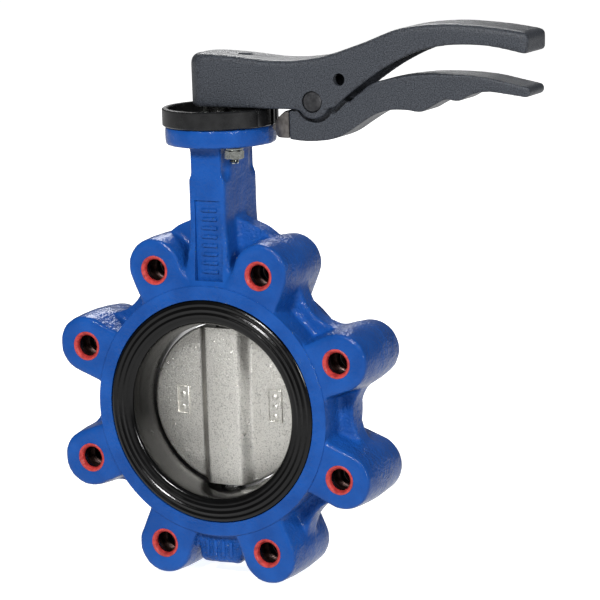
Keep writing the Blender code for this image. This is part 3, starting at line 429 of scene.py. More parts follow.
def soften(piece: bpy.types.Object, voxel: float, passes: int) -> bpy.types.Object:
    """Rebuilds a solid on an even grid and rounds its edges, as sand or a mould does.

    Args:
        piece: The solid.
        voxel: Grid size.
        passes: Smoothing passes; more give rounder edges.

    Returns:
        The same piece.
    """
    remesh = piece.modifiers.new("Even grid", "REMESH")
    remesh.mode = "VOXEL"
    remesh.voxel_size = voxel
    if passes:
        rounding = piece.modifiers.new("Rounding", "SMOOTH")
        rounding.factor = 0.5
        rounding.iterations = passes
    return bake(piece)


def bevelled(piece: bpy.types.Object, width: float, segments: int = 2,
             angle: float = 30) -> bpy.types.Object:
    """Rounds a piece's sharp edges with a bevel.

    Args:
        piece: The piece.
        width: Width of the bevel.
        segments: Steps across it.
        angle: Edges sharper than this are rounded, in degrees.

    Returns:
        The same piece.
    """
    modifier = piece.modifiers.new("Edges", "BEVEL")
    modifier.width = width
    modifier.segments = segments
    modifier.limit_method = "ANGLE"
    modifier.angle_limit = math.radians(angle)
    modifier.use_clamp_overlap = True
    return bake(piece)


def shade(piece: bpy.types.Object, angle: float = SMOOTH_ANGLE) -> bpy.types.Object:
    """Shades a piece smooth, apart from its sharp edges.

    Args:
        piece: The piece.
        angle: Edges sharper than this stay sharp, in radians.

    Returns:
        The same piece.
    """
    piece.data.shade_smooth()
    piece.data.set_sharp_from_angle(angle=angle)
    return piece


def mirrored(piece: bpy.types.Object) -> bpy.types.Object:
    """Turns a piece of the front face into its likeness on the back face.

    Args:
        piece: The piece.

    Returns:
        The same piece, on the other side of the middle plane.
    """
    piece.data.transform(Matrix.Diagonal((1, -1, 1, 1)))
    piece.data.flip_normals()
    return piece


def push_out(piece: bpy.types.Object, height: Callable[[Vector, Vector], float]) -> None:
    """Moves each vertex along its normal.

    Args:
        piece: The piece.
        height: Gives the distance from a vertex's place and normal.
    """
    places = [vertex.co.copy() for vertex in piece.data.vertices]
    normals = [vertex.normal.copy() for vertex in piece.data.vertices]
    for vertex, place, normal in zip(piece.data.vertices, places, normals):
        vertex.co = place + normal * height(place, normal)
    piece.data.update()


# ---- geometry nodes ------------------------------------------------------------------------------


@dataclass
class NodeTree:
    """A Geometry Nodes tree with one geometry in, one out and named sizes."""

    name: str
    tree: bpy.types.NodeTree = field(init=False)
    sockets: dict[str, str] = field(init=False, default_factory=dict)

    def __post_init__(self) -> None:
        """Makes the empty tree with its geometry sockets."""
        self.tree = bpy.data.node_groups.new(self.name, "GeometryNodeTree")
        self.tree.interface.new_socket("Geometry", in_out="INPUT", socket_type="NodeSocketGeometry")
        self.tree.interface.new_socket("Geometry", in_out="OUTPUT", socket_type="NodeSocketGeometry")
        self.start = self.tree.nodes.new("NodeGroupInput")
        self.end = self.tree.nodes.new("NodeGroupOutput")

    def size(self, name: str, kind: str, default: object) -> bpy.types.NodeSocket:
        """Adds a named input.

        Args:
            name: The input's name.
            kind: Float, Int, Vector or Material.
            default: Its default value.

        Returns:
            The socket that other nodes read.
        """
        item = self.tree.interface.new_socket(name, in_out="INPUT", socket_type=f"NodeSocket{kind}")
        if default is not None:
            item.default_value = default
        self.sockets[name] = item.identifier
        return self.start.outputs[name]

    def add(self, kind: str, values: dict[str | int, object] | None = None) -> bpy.types.Node:
        """Adds a node.

        Args:
            kind: The node's type.
            values: Input sockets to set or link, by name or number.

        Returns:
            The new node.
        """
        node = self.tree.nodes.new(kind)
        for key, value in (values or {}).items():
            if isinstance(value, bpy.types.NodeSocket):
                self.tree.links.new(value, node.inputs[key])
            else:
                node.inputs[key].default_value = value
        return node

    def close(self, geometry: bpy.types.NodeSocket, material: bpy.types.NodeSocket) -> None:
        """Realises the instances, gives them their material and ends the tree.

        Args:
            geometry: The instances.
            material: Their material.
        """
        real = self.add("GeometryNodeRealizeInstances", {0: geometry})
        dressed = self.add("GeometryNodeSetMaterial",
                           {"Geometry": real.outputs[0], "Material": material})
        self.tree.links.new(dressed.outputs[0], self.end.inputs[0])

    def grow(self, piece: bpy.types.Object, **sizes: object) -> bpy.types.Object:
        """Runs the tree on a piece and keeps the result as its plain mesh.

        Args:
            piece: The piece that carries the tree.
            **sizes: Values of the named inputs, with spaces as underscores.

        Returns:
            The same piece.
        """
        modifier = piece.modifiers.new(self.name, "NODES")
        modifier.node_group = self.tree
        for name, value in sizes.items():
            modifier[self.sockets[name.replace("_", " ")]] = value
        return bake(piece)


def points_on_bolt_circle(tree: NodeTree) -> bpy.types.NodeSocket:
    """Adds a circle of points about the pipe's axis, with its named inputs, to a tree.

    Args:
        tree: The tree, which gains Count, Radius and Phase.

    Returns:
        The socket that carries the points.
    """
    count = tree.size("Count", "Int", 8)
    radius = tree.size("Radius", "Float", 0.09)
    phase = tree.size("Phase", "Vector", (0.0, 0.0, 0.0))
    ring = tree.add("GeometryNodeMeshCircle", {"Vertices": count, "Radius": radius})
    turned_ring = tree.add("GeometryNodeTransform", {"Geometry": ring.outputs[0], "Rotation": phase})
    laid = tree.add("GeometryNodeTransform", {"Geometry": turned_ring.outputs[0],
                                              "Rotation": (QUARTER_TURN, 0.0, 0.0)})
    return laid.outputs[0]


def circle_pattern_tree() -> NodeTree:
    """A tree that repeats a piece round a circle about the pipe's axis.

    Returns:
        The tree.
    """
    tree = NodeTree("repeat_round_circle")
    points = points_on_bolt_circle(tree)
    material = tree.size("Material", "Material", None)
    copies = tree.add("GeometryNodeInstanceOnPoints",
                      {"Points": points, "Instance": tree.start.outputs[0]})
    tree.close(copies.outputs[0], material)
    return tree


def row_pattern_tree() -> NodeTree:
    """A tree that repeats a piece in a straight row.

    Returns:
        The tree.
    """
    tree = NodeTree("repeat_in_row")
    count = tree.size("Count", "Int", 3)
    start = tree.size("Start", "Vector", (0.0, 0.0, 0.0))
    step = tree.size("Step", "Vector", (0.0, 0.0, 0.01))
    material = tree.size("Material", "Material", None)
    row = tree.add("GeometryNodeMeshLine", {"Count": count, "Start Location": start, "Offset": step})
    copies = tree.add("GeometryNodeInstanceOnPoints",
                      {"Points": row.outputs[0], "Instance": tree.start.outputs[0]})
    tree.close(copies.outputs[0], material)
    return tree


def thread_tree() -> NodeTree:
    """A tree that winds a V-shaped ridge into a helix and repeats it round the bolt circle.

    Returns:
        The tree.
    """
    tree = NodeTree("threads_round_circle")
    points = points_on_bolt_circle(tree)
    steps_a_turn, ridge_corners = 20, 3
    helix_radius = tree.size("Helix Radius", "Float", 0.0078)
    turns = tree.size("Turns", "Float", 20.0)
    length = tree.size("Length", "Float", 0.04)
    ridge = tree.size("Ridge", "Float", 0.0012)
    start = tree.size("Start", "Vector", (0.0, 0.0, 0.0))
    material = tree.size("Material", "Material", None)
    spiral = tree.add("GeometryNodeCurveSpiral", {
        "Resolution": steps_a_turn, "Rotations": turns, "Start Radius": helix_radius,
        "End Radius": helix_radius, "Height": length})
    profile = tree.add("GeometryNodeCurvePrimitiveCircle",
                       {"Resolution": ridge_corners, "Radius": ridge})
    wound = tree.add("GeometryNodeCurveToMesh", {
        "Curve": spiral.outputs[0], "Profile Curve": profile.outputs[0], "Fill Caps": True})
    placed = tree.add("GeometryNodeTransform", {
        "Geometry": wound.outputs[0], "Translation": start, "Rotation": (QUARTER_TURN, 0.0, 0.0)})
    copies = tree.add("GeometryNodeInstanceOnPoints",
                      {"Points": points, "Instance": placed.outputs[0]})
    tree.close(copies.outputs[0], material)
    return tree


# ---- finishes ------------------------------------------------------------------------------------


@dataclass(frozen=True)
class Tone:
    """A noise that fades one colour into another between two of its levels."""

    scale: float
    octaves: float
    start: float
    end: float
    weight: float = 0.5


@dataclass(frozen=True)
class Gloss:
    """A noise that varies the roughness between two values."""

    scale: float
    octaves: float
    low: float
    high: float


@dataclass(frozen=True)
class Relief:
    """A noise that raises the surface by a depth in metres."""

    scale: float
    octaves: float
    depth: float
    weight: float = 0.5
    stretch: tuple[float, float, float] = (1.0, 1.0, 1.0)


@dataclass
class Shading:
    """Nodes of one material, around its Principled shader."""

    name: str
    material: bpy.types.Material = field(init=False)

    def __post_init__(self) -> None:
        """Makes the material and its Object coordinates."""
        self.material = bpy.data.materials.new(self.name)
        self.material.use_nodes = True
        self.nodes = self.material.node_tree.nodes
        self.links = self.material.node_tree.links
        self.shader = self.nodes["Principled BSDF"]
        self.place = self.nodes.new("ShaderNodeTexCoord").outputs["Object"]

    def set(self, **values: object) -> None:
        """Sets sockets of the shader, with spaces as underscores."""
        for name, value in values.items():
            self.shader.inputs[name.replace("_", " ")].default_value = value

    def noise(self, scale: float, detail: float = 3.0, roughness: float = 0.5,
              stretch: tuple[float, float, float] = (1.0, 1.0, 1.0)) -> bpy.types.NodeSocket:
        """A noise over the piece.

        Args:
            scale: Features per metre.
            detail: Octaves.
            roughness: Weight of the finer octaves.
            stretch: Scale along each axis.

        Returns:
            Its value socket.
        """
        mapping = self.nodes.new("ShaderNodeMapping")
        mapping.inputs["Scale"].default_value = stretch
        texture = self.nodes.new("ShaderNodeTexNoise")
        texture.inputs["Scale"].default_value = scale
        texture.inputs["Detail"].default_value = detail
        texture.inputs["Roughness"].default_value = roughness
        self.links.new(self.place, mapping.inputs[0])
        self.links.new(mapping.outputs[0], texture.inputs["Vector"])
        return texture.outputs["Fac"]

    def paint(self, tone: Tone, first: Colour, second: Colour) -> None:
        """Fades the shader's colour from one to another.

        Args:
            tone: The noise that mixes them.
            first: The linear colour at its start.
            second: The linear colour at its end.
        """
        ramp = self.nodes.new("ShaderNodeValToRGB")
        stops = ((tone.start, first), (tone.end, second))
        for element, (position, colour) in zip(ramp.color_ramp.elements, stops):
            element.position = position
            element.color = (*colour, 1.0)
        self.links.new(self.noise(tone.scale, tone.octaves, tone.weight), ramp.inputs[0])
        self.links.new(ramp.outputs[0], self.shader.inputs["Base Color"])

    def polish(self, gloss: Gloss) -> None:
        """Varies the shader's roughness."""
        self.spread(self.noise(gloss.scale, gloss.octaves), gloss.low, gloss.high, "Roughness")

    def spread(self, value: bpy.types.NodeSocket, low: float, high: float, target: str = "",
               start: float = 0.3, end: float = 0.7) -> bpy.types.NodeSocket:
        """Maps a value to a range.

        Args:
            value: The value.
            low: Result at the start.
            high: Result at the end.
            target: A socket of the shader to link it to, if any.
            start: Input that gives low.
            end: Input that gives high.

        Returns:
            The mapped socket.
        """
        node = self.nodes.new("ShaderNodeMapRange")
        for name, number in (("From Min", start), ("From Max", end), ("To Min", low), ("To Max", high)):
            node.inputs[name].default_value = number
        self.links.new(value, node.inputs["Value"])
        if target:
            self.links.new(node.outputs[0], self.shader.inputs[target])
        return node.outputs[0]

    def attribute(self, name: str) -> bpy.types.NodeSocket:
        """The value of a named attribute of the mesh.

        Args:
            name: The attribute's name.

        Returns:
            Its socket.
        """
        node = self.nodes.new("ShaderNodeAttribute")
        node.attribute_name = name
        return node.outputs["Fac"]

    def raise_up(self, reliefs: Sequence[Relief], strength: bpy.types.NodeSocket | float = 1.0,
                 coat: bool = False) -> None:
        """Stacks bumps on the shader.

        Args:
            reliefs: The noises that raise the surface.
            strength: Strength of them all.
            coat: Whether the clear coat follows the bumps too.
        """
        previous = None
        for relief in reliefs:
            node = self.nodes.new("ShaderNodeBump")
            node.inputs["Distance"].default_value = relief.depth
            if isinstance(strength, bpy.types.NodeSocket):
                self.links.new(strength, node.inputs["Strength"])
            else:
                node.inputs["Strength"].default_value = strength
            height = self.noise(relief.scale, relief.octaves, relief.weight, relief.stretch)
            self.links.new(height, node.inputs["Height"])
            if previous is not None:
                self.links.new(previous, node.inputs["Normal"])
            previous = node.outputs["Normal"]
        self.links.new(previous, self.shader.inputs["Normal"])
        if coat:
            self.links.new(previous, self.shader.inputs["Coat Normal"])


@dataclass(frozen=True)
class BlueEpoxy:
    """Glossy blue epoxy, sprayed over a sand casting, whose lumps show through."""

    deep: Colour = (0.006, 0.058, 0.262)
    bright: Colour = (0.009, 0.078, 0.335)
    tone: Tone = Tone(55, 4, 0.35, 0.65)
    gloss: Gloss = Gloss(160, 2, 0.30, 0.42)
    index: float = 1.16
    coat: float = 0.55
    coat_roughness: float = 0.02
    coat_index: float = 1.33
    lumps: tuple[Relief, ...] = (Relief(150, 2, 0.0014), Relief(480, 3, 0.0021, 0.6),
                                 Relief(1300, 2, 0.00022))
    smoothest: float = 0.03

    def build(self) -> bpy.types.Material:
        """Makes the material, whose lumps follow the casting's own roughness.

        Returns:
            The material.
        """
        look = Shading("blue_epoxy")
        look.paint(self.tone, self.deep, self.bright)
        look.polish(self.gloss)
        look.set(Coat_Weight=self.coat, Coat_Roughness=self.coat_roughness, Coat_IOR=self.coat_index,
                 IOR=self.index)
        rough = look.spread(look.attribute("roughcast"), self.smoothest, 1.0, start=0.0, end=1.0)
        look.raise_up(self.lumps, rough, coat=True)
        return look.material


@dataclass(frozen=True)
class RedCoating:
    """Red protective coating round the mouth of each tapped hole."""

    worn: Colour = (0.27, 0.020, 0.020)
    fresh: Colour = (0.52, 0.045, 0.040)
    tone: Tone = Tone(420, 3, 0.30, 0.62)
    gloss: Gloss = Gloss(300, 2, 0.32, 0.55)
    lumps: Relief = Relief(520, 3, 0.00060)
    strength: float = 0.8

    def build(self) -> bpy.types.Material:
        """Makes the material.

        Returns:
            The material.
        """
        look = Shading("red_coating")
        look.paint(self.tone, self.worn, self.fresh)
        look.polish(self.gloss)
        look.raise_up([self.lumps], self.strength)
        return look.material


@dataclass(frozen=True)
class CutIron:
    """Machined iron in the tapped holes and bores, its colour a dark red-brown that is painted shade of
    the deep holes over the iron's own tone.
    """

    # Painted shade: both colours are far darker than cut iron, standing for the shade inside the tapped
    # holes.
    dark: Colour = (0.016, 0.007, 0.006)
    light: Colour = (0.075, 0.040, 0.033)
    tone: Tone = Tone(500, 3, 0.35, 0.70)
    gloss: Gloss = Gloss(350, 2, 0.28, 0.50)
    metallic: float = 0.75
    tool_marks: Relief = Relief(1500, 2, 0.00008)
    strength: float = 0.6

    def build(self) -> bpy.types.Material:
        """Makes the material.

        Returns:
            The material.
        """
        look = Shading("cut_iron")
        look.paint(self.tone, self.dark, self.light)
        look.polish(self.gloss)
        look.set(Metallic=self.metallic)
        look.raise_up([self.tool_marks], self.strength)
        return look.material


@dataclass(frozen=True)
class SeatRubber:
    """Black moulded rubber with a waxy gloss."""

    dark: Colour = (0.0012, 0.0012, 0.0013)
    bloom: Colour = (0.0030, 0.0031, 0.0033)
    tone: Tone = Tone(45, 5, 0.40, 0.75)
    gloss: Gloss = Gloss(120, 4, 0.13, 0.22)
    index: float = 1.38
    skin: tuple[Relief, ...] = (Relief(190, 2, 0.00014), Relief(2200, 2, 0.00002))
    strength: float = 0.6

    def build(self) -> bpy.types.Material:
        """Makes the material.

        Returns:
            The material.
        """
        look = Shading("seat_rubber")
        look.paint(self.tone, self.dark, self.bloom)
        look.polish(self.gloss)
        look.set(IOR=self.index)
        look.raise_up(self.skin, self.strength)
        return look.material


@dataclass(frozen=True)
class CastStainless:
    """Warm grey cast stainless steel with the grain of a shell mould, painted darker in the pits of that
    grain for their shade.
    """

    # Painted shade: the tone follows the same noise as the grain's finer bumps, so the darker colour lies
    # in the pits and the lighter one on the raised faces.
    shaded_pit: Colour = (0.36, 0.350, 0.320)
    face: Colour = (0.80, 0.785, 0.735)
    tone: Tone = Tone(1150, 4, 0.30, 0.50, 0.66)
    gloss: Gloss = Gloss(260, 3, 0.27, 0.37)
    grain: tuple[Relief, ...] = (Relief(430, 2, 0.00016), Relief(1150, 4, 0.00036, 0.66))

    def build(self) -> bpy.types.Material:
        """Makes the material.

        Returns:
            The material.
        """
        look = Shading("cast_stainless")
        look.paint(self.tone, self.shaded_pit, self.face)
        look.polish(self.gloss)
        look.set(Metallic=1.0)
        look.raise_up(self.grain)
        return look.material


@dataclass(frozen=True)
class SlateCoat:
    """Dark slate-grey coating with a fine even grain, painted darker in the grain's hollows and lighter on
    its raised specks.
    """

    # Painted shade and highlight: the tone follows the same noise as the grain's finer bumps, dark in the
    # hollows and light on the raised specks.
    dark: Colour = (0.018, 0.020, 0.025)
    lit_speck: Colour = (0.056, 0.063, 0.076)
    tone: Tone = Tone(1400, 3, 0.38, 0.60, 0.6)
    gloss: Gloss = Gloss(70, 3, 0.34, 0.46)
    index: float = 1.38
    grain: tuple[Relief, ...] = (Relief(480, 2, 0.00012), Relief(1400, 3, 0.00026, 0.6))

    def build(self) -> bpy.types.Material:
        """Makes the material.

        Returns:
            The material.
        """
        look = Shading("slate_coat")
        look.paint(self.tone, self.dark, self.lit_speck)
        look.polish(self.gloss)
        look.set(IOR=self.index)
        look.raise_up(self.grain)
        return look.material


@dataclass(frozen=True)
class SatinBlack:
    """Satin black plate."""

    dark: Colour = (0.0040, 0.0042, 0.0046)
    light: Colour = (0.0100, 0.0102, 0.0110)
    tone: Tone = Tone(240, 4, 0.35, 0.70)
    gloss: Gloss = Gloss(90, 3, 0.22, 0.36)
    skin: Relief = Relief(1100, 2, 0.00007)
    strength: float = 0.8

    def build(self) -> bpy.types.Material:
        """Makes the material.

        Returns:
            The material.
        """
        look = Shading("satin_black")
        look.paint(self.tone, self.dark, self.light)
        look.polish(self.gloss)
        look.raise_up([self.skin], self.strength)
        return look.material


@dataclass(frozen=True)
class Metal:
    """A plain metal: plated, turned, drawn or blackened."""

    name: str
    low: Colour
    high: Colour
    smooth: float
    rough: float
    metallic: float = 1.0
    tool_marks: Relief = Relief(900, 2, 0.00006)
    tone: Tone = Tone(380, 3, 0.34, 0.68)
    strength: float = 0.7

    def build(self) -> bpy.types.Material:
        """Makes the material.

        Returns:
            The material.
        """
        look = Shading(self.name)
        look.paint(self.tone, self.low, self.high)
        look.polish(Gloss(260, 2, self.smooth, self.rough))
        look.set(Metallic=self.metallic)
        look.raise_up([self.tool_marks], self.strength)
        return look.material


@dataclass(frozen=True)
class ThrustPlastic:
    """White low-friction plastic."""

    shade: Colour = (0.70, 0.70, 0.67)
    white: Colour = (0.82, 0.82, 0.80)
    tone: Tone = Tone(300, 2, 0.3, 0.7)
    roughness: float = 0.45
    skin: Relief = Relief(700, 2, 0.00005)
    strength: float = 0.6

    def build(self) -> bpy.types.Material:
        """Makes the material.

        Returns:
            The material.
        """
        look = Shading("thrust_plastic")
        look.paint(self.tone, self.shade, self.white)
        look.set(Roughness=self.roughness)
        look.raise_up([self.skin], self.strength)
        return look.material


class Paintbox:
    """Every finish, made once."""

    def __init__(self) -> None:
        """Builds the materials."""
        self.blue = BlueEpoxy().build()
        self.red = RedCoating().build()
        self.iron = CutIron().build()
        self.rubber = SeatRubber().build()
        self.stainless = CastStainless().build()
        self.slate = SlateCoat().build()
        self.black = SatinBlack().build()
        turning = Relief(900, 2, 0.00006, stretch=(0.2, 0.2, 6.0))
        self.tooth = Metal("tooth_steel", (0.075, 0.068, 0.064), (0.135, 0.125, 0.118),
                           0.40, 0.55, 0.35).build()
        self.zinc = Metal("bright_zinc", (0.30, 0.31, 0.29), (0.50, 0.52, 0.49), 0.16, 0.28).build()
        self.steel = Metal("turned_steel", (0.42, 0.42, 0.41), (0.56, 0.56, 0.55), 0.20, 0.32,
                           tool_marks=turning).build()
        self.bronze = Metal("bearing_bronze", (0.36, 0.22, 0.09), (0.50, 0.33, 0.15), 0.28, 0.42,
                            tool_marks=turning).build()
        self.dark_steel = Metal("dark_steel", (0.030, 0.031, 0.034), (0.070, 0.070, 0.074), 0.32, 0.46,
                                0.6).build()
        self.wire = Metal("spring_wire", (0.30, 0.30, 0.30), (0.44, 0.44, 0.44), 0.22, 0.34).build()
        self.plastic = ThrustPlastic().build()


def hand_over(piece: bpy.types.Object, body: Carrier, nodes: Sequence[str] = (),
              material: bpy.types.Material | None = None) -> None:
    """Gives a finished piece its material, its body and the model's nodes it stands for.

    Args:
        piece: The piece, with its place in its mesh.
        body: The body it rides on.
        nodes: The nodes that it replaces.
        material: Its material, unless it already has one.
    """
    if material is not None:
        piece.data.materials.clear()
        piece.data.materials.append(material)
    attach(piece, body.value)
    if nodes:
        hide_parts(*nodes)
    log.info("%s rides on %s with %d faces", piece.name, body.value, len(piece.data.polygons))


# ---- body casting --------------------------------------------------------------------------------


@dataclass
class BodyCasting:
    """The lug body: ring, lugs, web, neck, top flange and bottom boss."""

    paint: Paintbox
    ring_radius: float = 0.0755
    lug_half_length: float = 0.0250
    annulus_half_length: float = 0.0258
    annulus_root: float = 0.0020
    annulus_edge: float = 0.0004
    bore: float = 0.0600
    lip_radius: float = 0.0673
    lip_seat: float = 0.0214
    bolt_circle: float = 0.0900
    lug_count: int = 8
    lug_ends: tuple[tuple[float, float, float], ...] = (
        (-1.0, 0.0170, 0.0017), (-0.5, 0.0184, 0.0010), (0.0, 0.0191, 0.0004),
        (0.5, 0.0182, 0.0008), (1.0, 0.0168, 0.0012))
    web_half: float = 0.0065
    web_depth: float = 0.0085
    web_arc: float = 0.0255
    web_sweep: float = 62.0
    lug_root: float = 0.0020
    lug_draft: float = 0.0008
    shoulder_rise: float = 0.0385
    shoulder_reach: float = 0.0040
    shoulder_lug_top: float = 0.0164
    shoulder_steps: tuple[Point2, ...] = ((0.0170, -0.0068), (0.0080, -0.0030), (0.0, 0.0))
    stem_bore: float = 0.0090
    stem_floor: float = -0.0885
    neck_half_x: float = 0.0119
    neck_half_y: float = 0.0212
    neck_corner: float = 0.0012
    neck_root: float = 0.0040
    neck_flare: float = 0.0042
    neck_flare_deep: float = 0.8
    neck_flares: tuple[Point2, ...] = ((0.0, 1.0), (0.010, 0.72), (0.024, 0.28), (0.042, 0.0))
    panel: tuple[float, float, float] = (-0.0079, 0.0104, 0.1255)
    panel_depth: float = 0.0013
    panel_foot: float = 0.0027
    panel_slope: Point2 = (0.0045, 0.0006)
    neck_bars: int = 8
    neck_bar_pitch: float = 0.0052
    neck_bar_start: float = 0.0832
    neck_bar: tuple[float, float, float] = (-0.0040, 0.0060, 0.0010)
    boss_ribs: int = 4
    boss_rib_pitch: float = 0.0052
    boss_rib_centre: float = -0.0848
    boss_rib: Point2 = (0.0011, 0.0048)
    neck_bar_proud: float = 0.0011
    boss_rib_proud: float = 0.0009
    boss_rib_root: float = 0.0006
    mark_edge: float = 0.0005
    mark_roughness: float = 0.6
    flange_top: float = 0.1680
    flange_thickness: float = 0.0108
    flange_radius: float = 0.0328
    flange_bolts: float = 0.0250
    flange_hole: float = 0.0033
    spanner_radius: float = 0.0080
    spanner_room: float = 0.0170
    run_out: float = 0.0070
    run_out_share: float = 0.45
    boss_half_x: float = 0.0140
    boss_half_y: float = 0.0200
    boss_bottom: float = -0.0941
    boss_chamfer: tuple[float, float, float] = (0.0022, 0.0018, 0.0028)
    boss_corner: float = 0.0025
    boss_root: float = 0.0060
    tap_radius: float = 0.0080
    rim_profile: tuple[Point2, ...] = (
        (0.00875, -0.0003), (0.00872, 0.00035), (0.00845, 0.0005), (0.00770, 0.00045),
        (0.00680, -0.0004), (0.00640, -0.0014), (0.00660, -0.0030), (0.00795, -0.0030),
        (0.00795, -0.0003))
    thread_pitch: float = 0.0020
    thread_inset: float = 0.0040
    thread_radius: float = 0.00765
    thread_ridge: float = 0.00078
    retainer_radius: float = 0.0109
    retainer_seat: float = 0.1649
    voxel: float = 0.00105
    rounding: int = 9
    lumps: tuple[Point2, Point2] = ((95, 0.00034), (230, 0.00030))
    lump_shift: tuple[float, float, float] = (3.1, 0.7, 1.9)
    rough_ring: float = 0.06
    rough_lug_face: float = 0.16
    rough_flange: float = 0.18
    rough_neck_side: float = 0.15
    rough_neck: float = 0.26
    rough_boss: float = 1.0
    rough_sides: Point2 = (0.24, 0.42)
    patch_scale: float = 42.0
    patch_level: float = 0.15
    patch_gain: float = 1.6

    @property
    def lug_angles(self) -> list[float]:
        """Angles of the lugs, half a pitch off the stem's axis."""
        return [360 / self.lug_count * (k + 0.5) for k in range(self.lug_count)]

    def lug(self, angle: float) -> bpy.types.Object:
        """One bolt lug, tapered from its middle to both faces.

        Args:
            angle: Its direction in degrees.

        Returns:
            The closed solid.
        """
        inner = self.bore + self.lug_root
        along = Vector((*polar(1, angle), 0)).xzy
        across = Vector((*polar(1, angle + 90), 0)).xzy
        sections = []
        for share, end, reach in self.lug_ends:
            centre = (self.bolt_circle + reach, 0.0)
            root = end - self.lug_draft
            outline = [(inner, -root), *arc(centre, end, -90, 90, 40), (inner, root)]
            y = Vector((0, self.lug_half_length * share, 0))
            sections.append([along * u + across * t + y for u, t in outline])
        return loft(f"lug_{angle:.0f}", sections)

    def web(self) -> bpy.types.Object:
        """The plate between the lugs, hollowed by an arc in each gap.

        Returns:
            The closed solid.
        """
        outline: Outline = []
        for k in range(self.lug_count):
            angle = 360 / self.lug_count * k
            centre = polar(self.ring_radius + self.web_depth + self.web_arc, angle)
            inward = angle + 180
            outline += arc(centre, self.web_arc, inward + self.web_sweep, inward - self.web_sweep, 28)
        return side_plate("web", outline, -self.web_half, self.web_half)

    def shoulder(self) -> bpy.types.Object:
        """The web where it climbs from the two top lugs to the neck.

        Returns:
            The closed solid.
        """
        top = self.ring_radius + self.shoulder_rise
        lug_x, lug_z = polar(self.bolt_circle, 90 - 180 / self.lug_count)
        side = lug_x + self.shoulder_reach
        half = [(side, self.ring_radius - self.shoulder_reach), (side, lug_z + self.shoulder_lug_top)]
        half += [(self.neck_half_x + across, top + up) for across, up in self.shoulder_steps]
        return side_plate("shoulder", half + [(-x, z) for x, z in reversed(half)],
                          -self.web_half + SLIVER, self.web_half - SLIVER)

    def boss(self) -> bpy.types.Object:
        """The bottom boss, chamfered at its foot.

        Returns:
            The closed solid.
        """
        in_x, in_y, up = self.boss_chamfer
        half_x, half_y, corner = self.boss_half_x, self.boss_half_y, self.boss_corner
        return loft("boss", [
            rounded_rectangle(half_x - in_x, half_y - in_y, corner, self.boss_bottom),
            rounded_rectangle(half_x, half_y, corner, self.boss_bottom + up),
            rounded_rectangle(half_x, half_y, corner, -self.ring_radius + self.boss_root)])

    def neck(self) -> bpy.types.Object:
        """The neck, flared where it grows out of the ring.

        Returns:
            The closed solid.
        """
        foot = self.ring_radius - self.neck_root
        under = self.flange_top - self.flange_thickness + BURIED
        half_x, half_y = self.neck_half_x, self.neck_half_y
        sections = []
        for rise, share in self.neck_flares:
            flare = self.neck_flare * share
            sections.append(rounded_rectangle(half_x + flare, half_y + flare * self.neck_flare_deep,
                                              self.neck_corner, foot + rise))
        sections.append(rounded_rectangle(half_x, half_y, self.neck_corner, under))
        return loft("neck", sections)

    def flange_points(self) -> list[Point2]:
        """Centres of the top flange's holes."""
        reach = self.flange_bolts / math.sqrt(2)
        return [(sx * reach, sy * reach) for sx, sy in ((1, -1), (-1, 1), (1, 1), (-1, -1))]

    def blank(self) -> bpy.types.Object:
        """The casting before machining, with rounded edges.

        Returns:
            The closed solid.
        """
        half = self.lug_half_length
        under = self.flange_top - self.flange_thickness
        solids = [rod("ring", self.ring_radius, -half, half, Axis.PIPE, steps=160), self.web(),
                  self.shoulder(), self.boss(), self.neck(),
                  rod("flange", self.flange_radius, under, self.flange_top, steps=96)]
        solids += [self.lug(angle) for angle in self.lug_angles]
        casting = soften(merge("body_casting", solids), self.voxel, 0)
        deep = under - self.spanner_room
        narrow, run_out = self.spanner_radius * self.run_out_share, self.run_out
        hollows = []
        for point in self.flange_points():
            hollows.append(rod("spanner_room", self.spanner_radius, deep, under, centre=point))
            hollows.append(rod("spanner_run_out", narrow, deep - run_out, deep + SLIVER,
                               centre=point, end_radius=self.spanner_radius))
        combine(casting, hollows, Cut.REMOVE)
        return soften(casting, self.voxel, self.rounding)

    def panel_bed(self) -> bpy.types.Object:
        """The cutter of the shallow panel on the neck's front, which runs out to the right.

        Returns:
            The closed solid.
        """
        left, right, high = self.panel
        face = -self.neck_half_y
        bed = face + self.panel_depth
        slope, past = self.panel_slope
        outline = [(left, face - BEYOND), (left, bed), (right - slope, bed), (right, face - past),
                   (right, face - BEYOND)]
        return plan_plate("panel_bed", outline, self.ring_radius + self.panel_foot, high)

    def roughness_at(self, place: Vector, normal: Vector) -> float:
        """How rough the sand left the surface, from 0 on machined faces to 1.

        Args:
            place: A point of the surface.
            normal: Its normal.

        Returns:
            The share.
        """
        facing = abs(normal.y)
        outward = math.hypot(place.x, place.z)
        near = 0.002
        if abs(place.y) > self.lug_half_length - 0.003 and facing > 0.8:
            return self.rough_ring if outward < self.ring_radius + near else self.rough_lug_face
        if place.z > self.flange_top - self.flange_thickness - BURIED:
            return self.rough_flange
        if place.z > self.ring_radius + 0.005 and abs(place.x) < self.neck_half_x + near:
            low = min(1.0, max(0.0, (self.panel[2] - 0.012 - place.z) / 0.020))
            front = self.rough_neck + (1.0 - self.rough_neck) * low
            return front if facing > 0.5 else self.rough_neck_side
        if place.z < -self.ring_radius - near and abs(place.x) < self.boss_half_x + BURIED:
            return self.rough_boss
        patch = (noise.noise(place * self.patch_scale) + self.patch_level) * self.patch_gain
        smoothest, gain = self.rough_sides
        return smoothest + gain * min(1.0, max(0.0, patch))

    def weather(self, casting: bpy.types.Object) -> None:
        """Gives the casting the lumps that the sand leaves."""
        push_out(casting, self.lump_at)

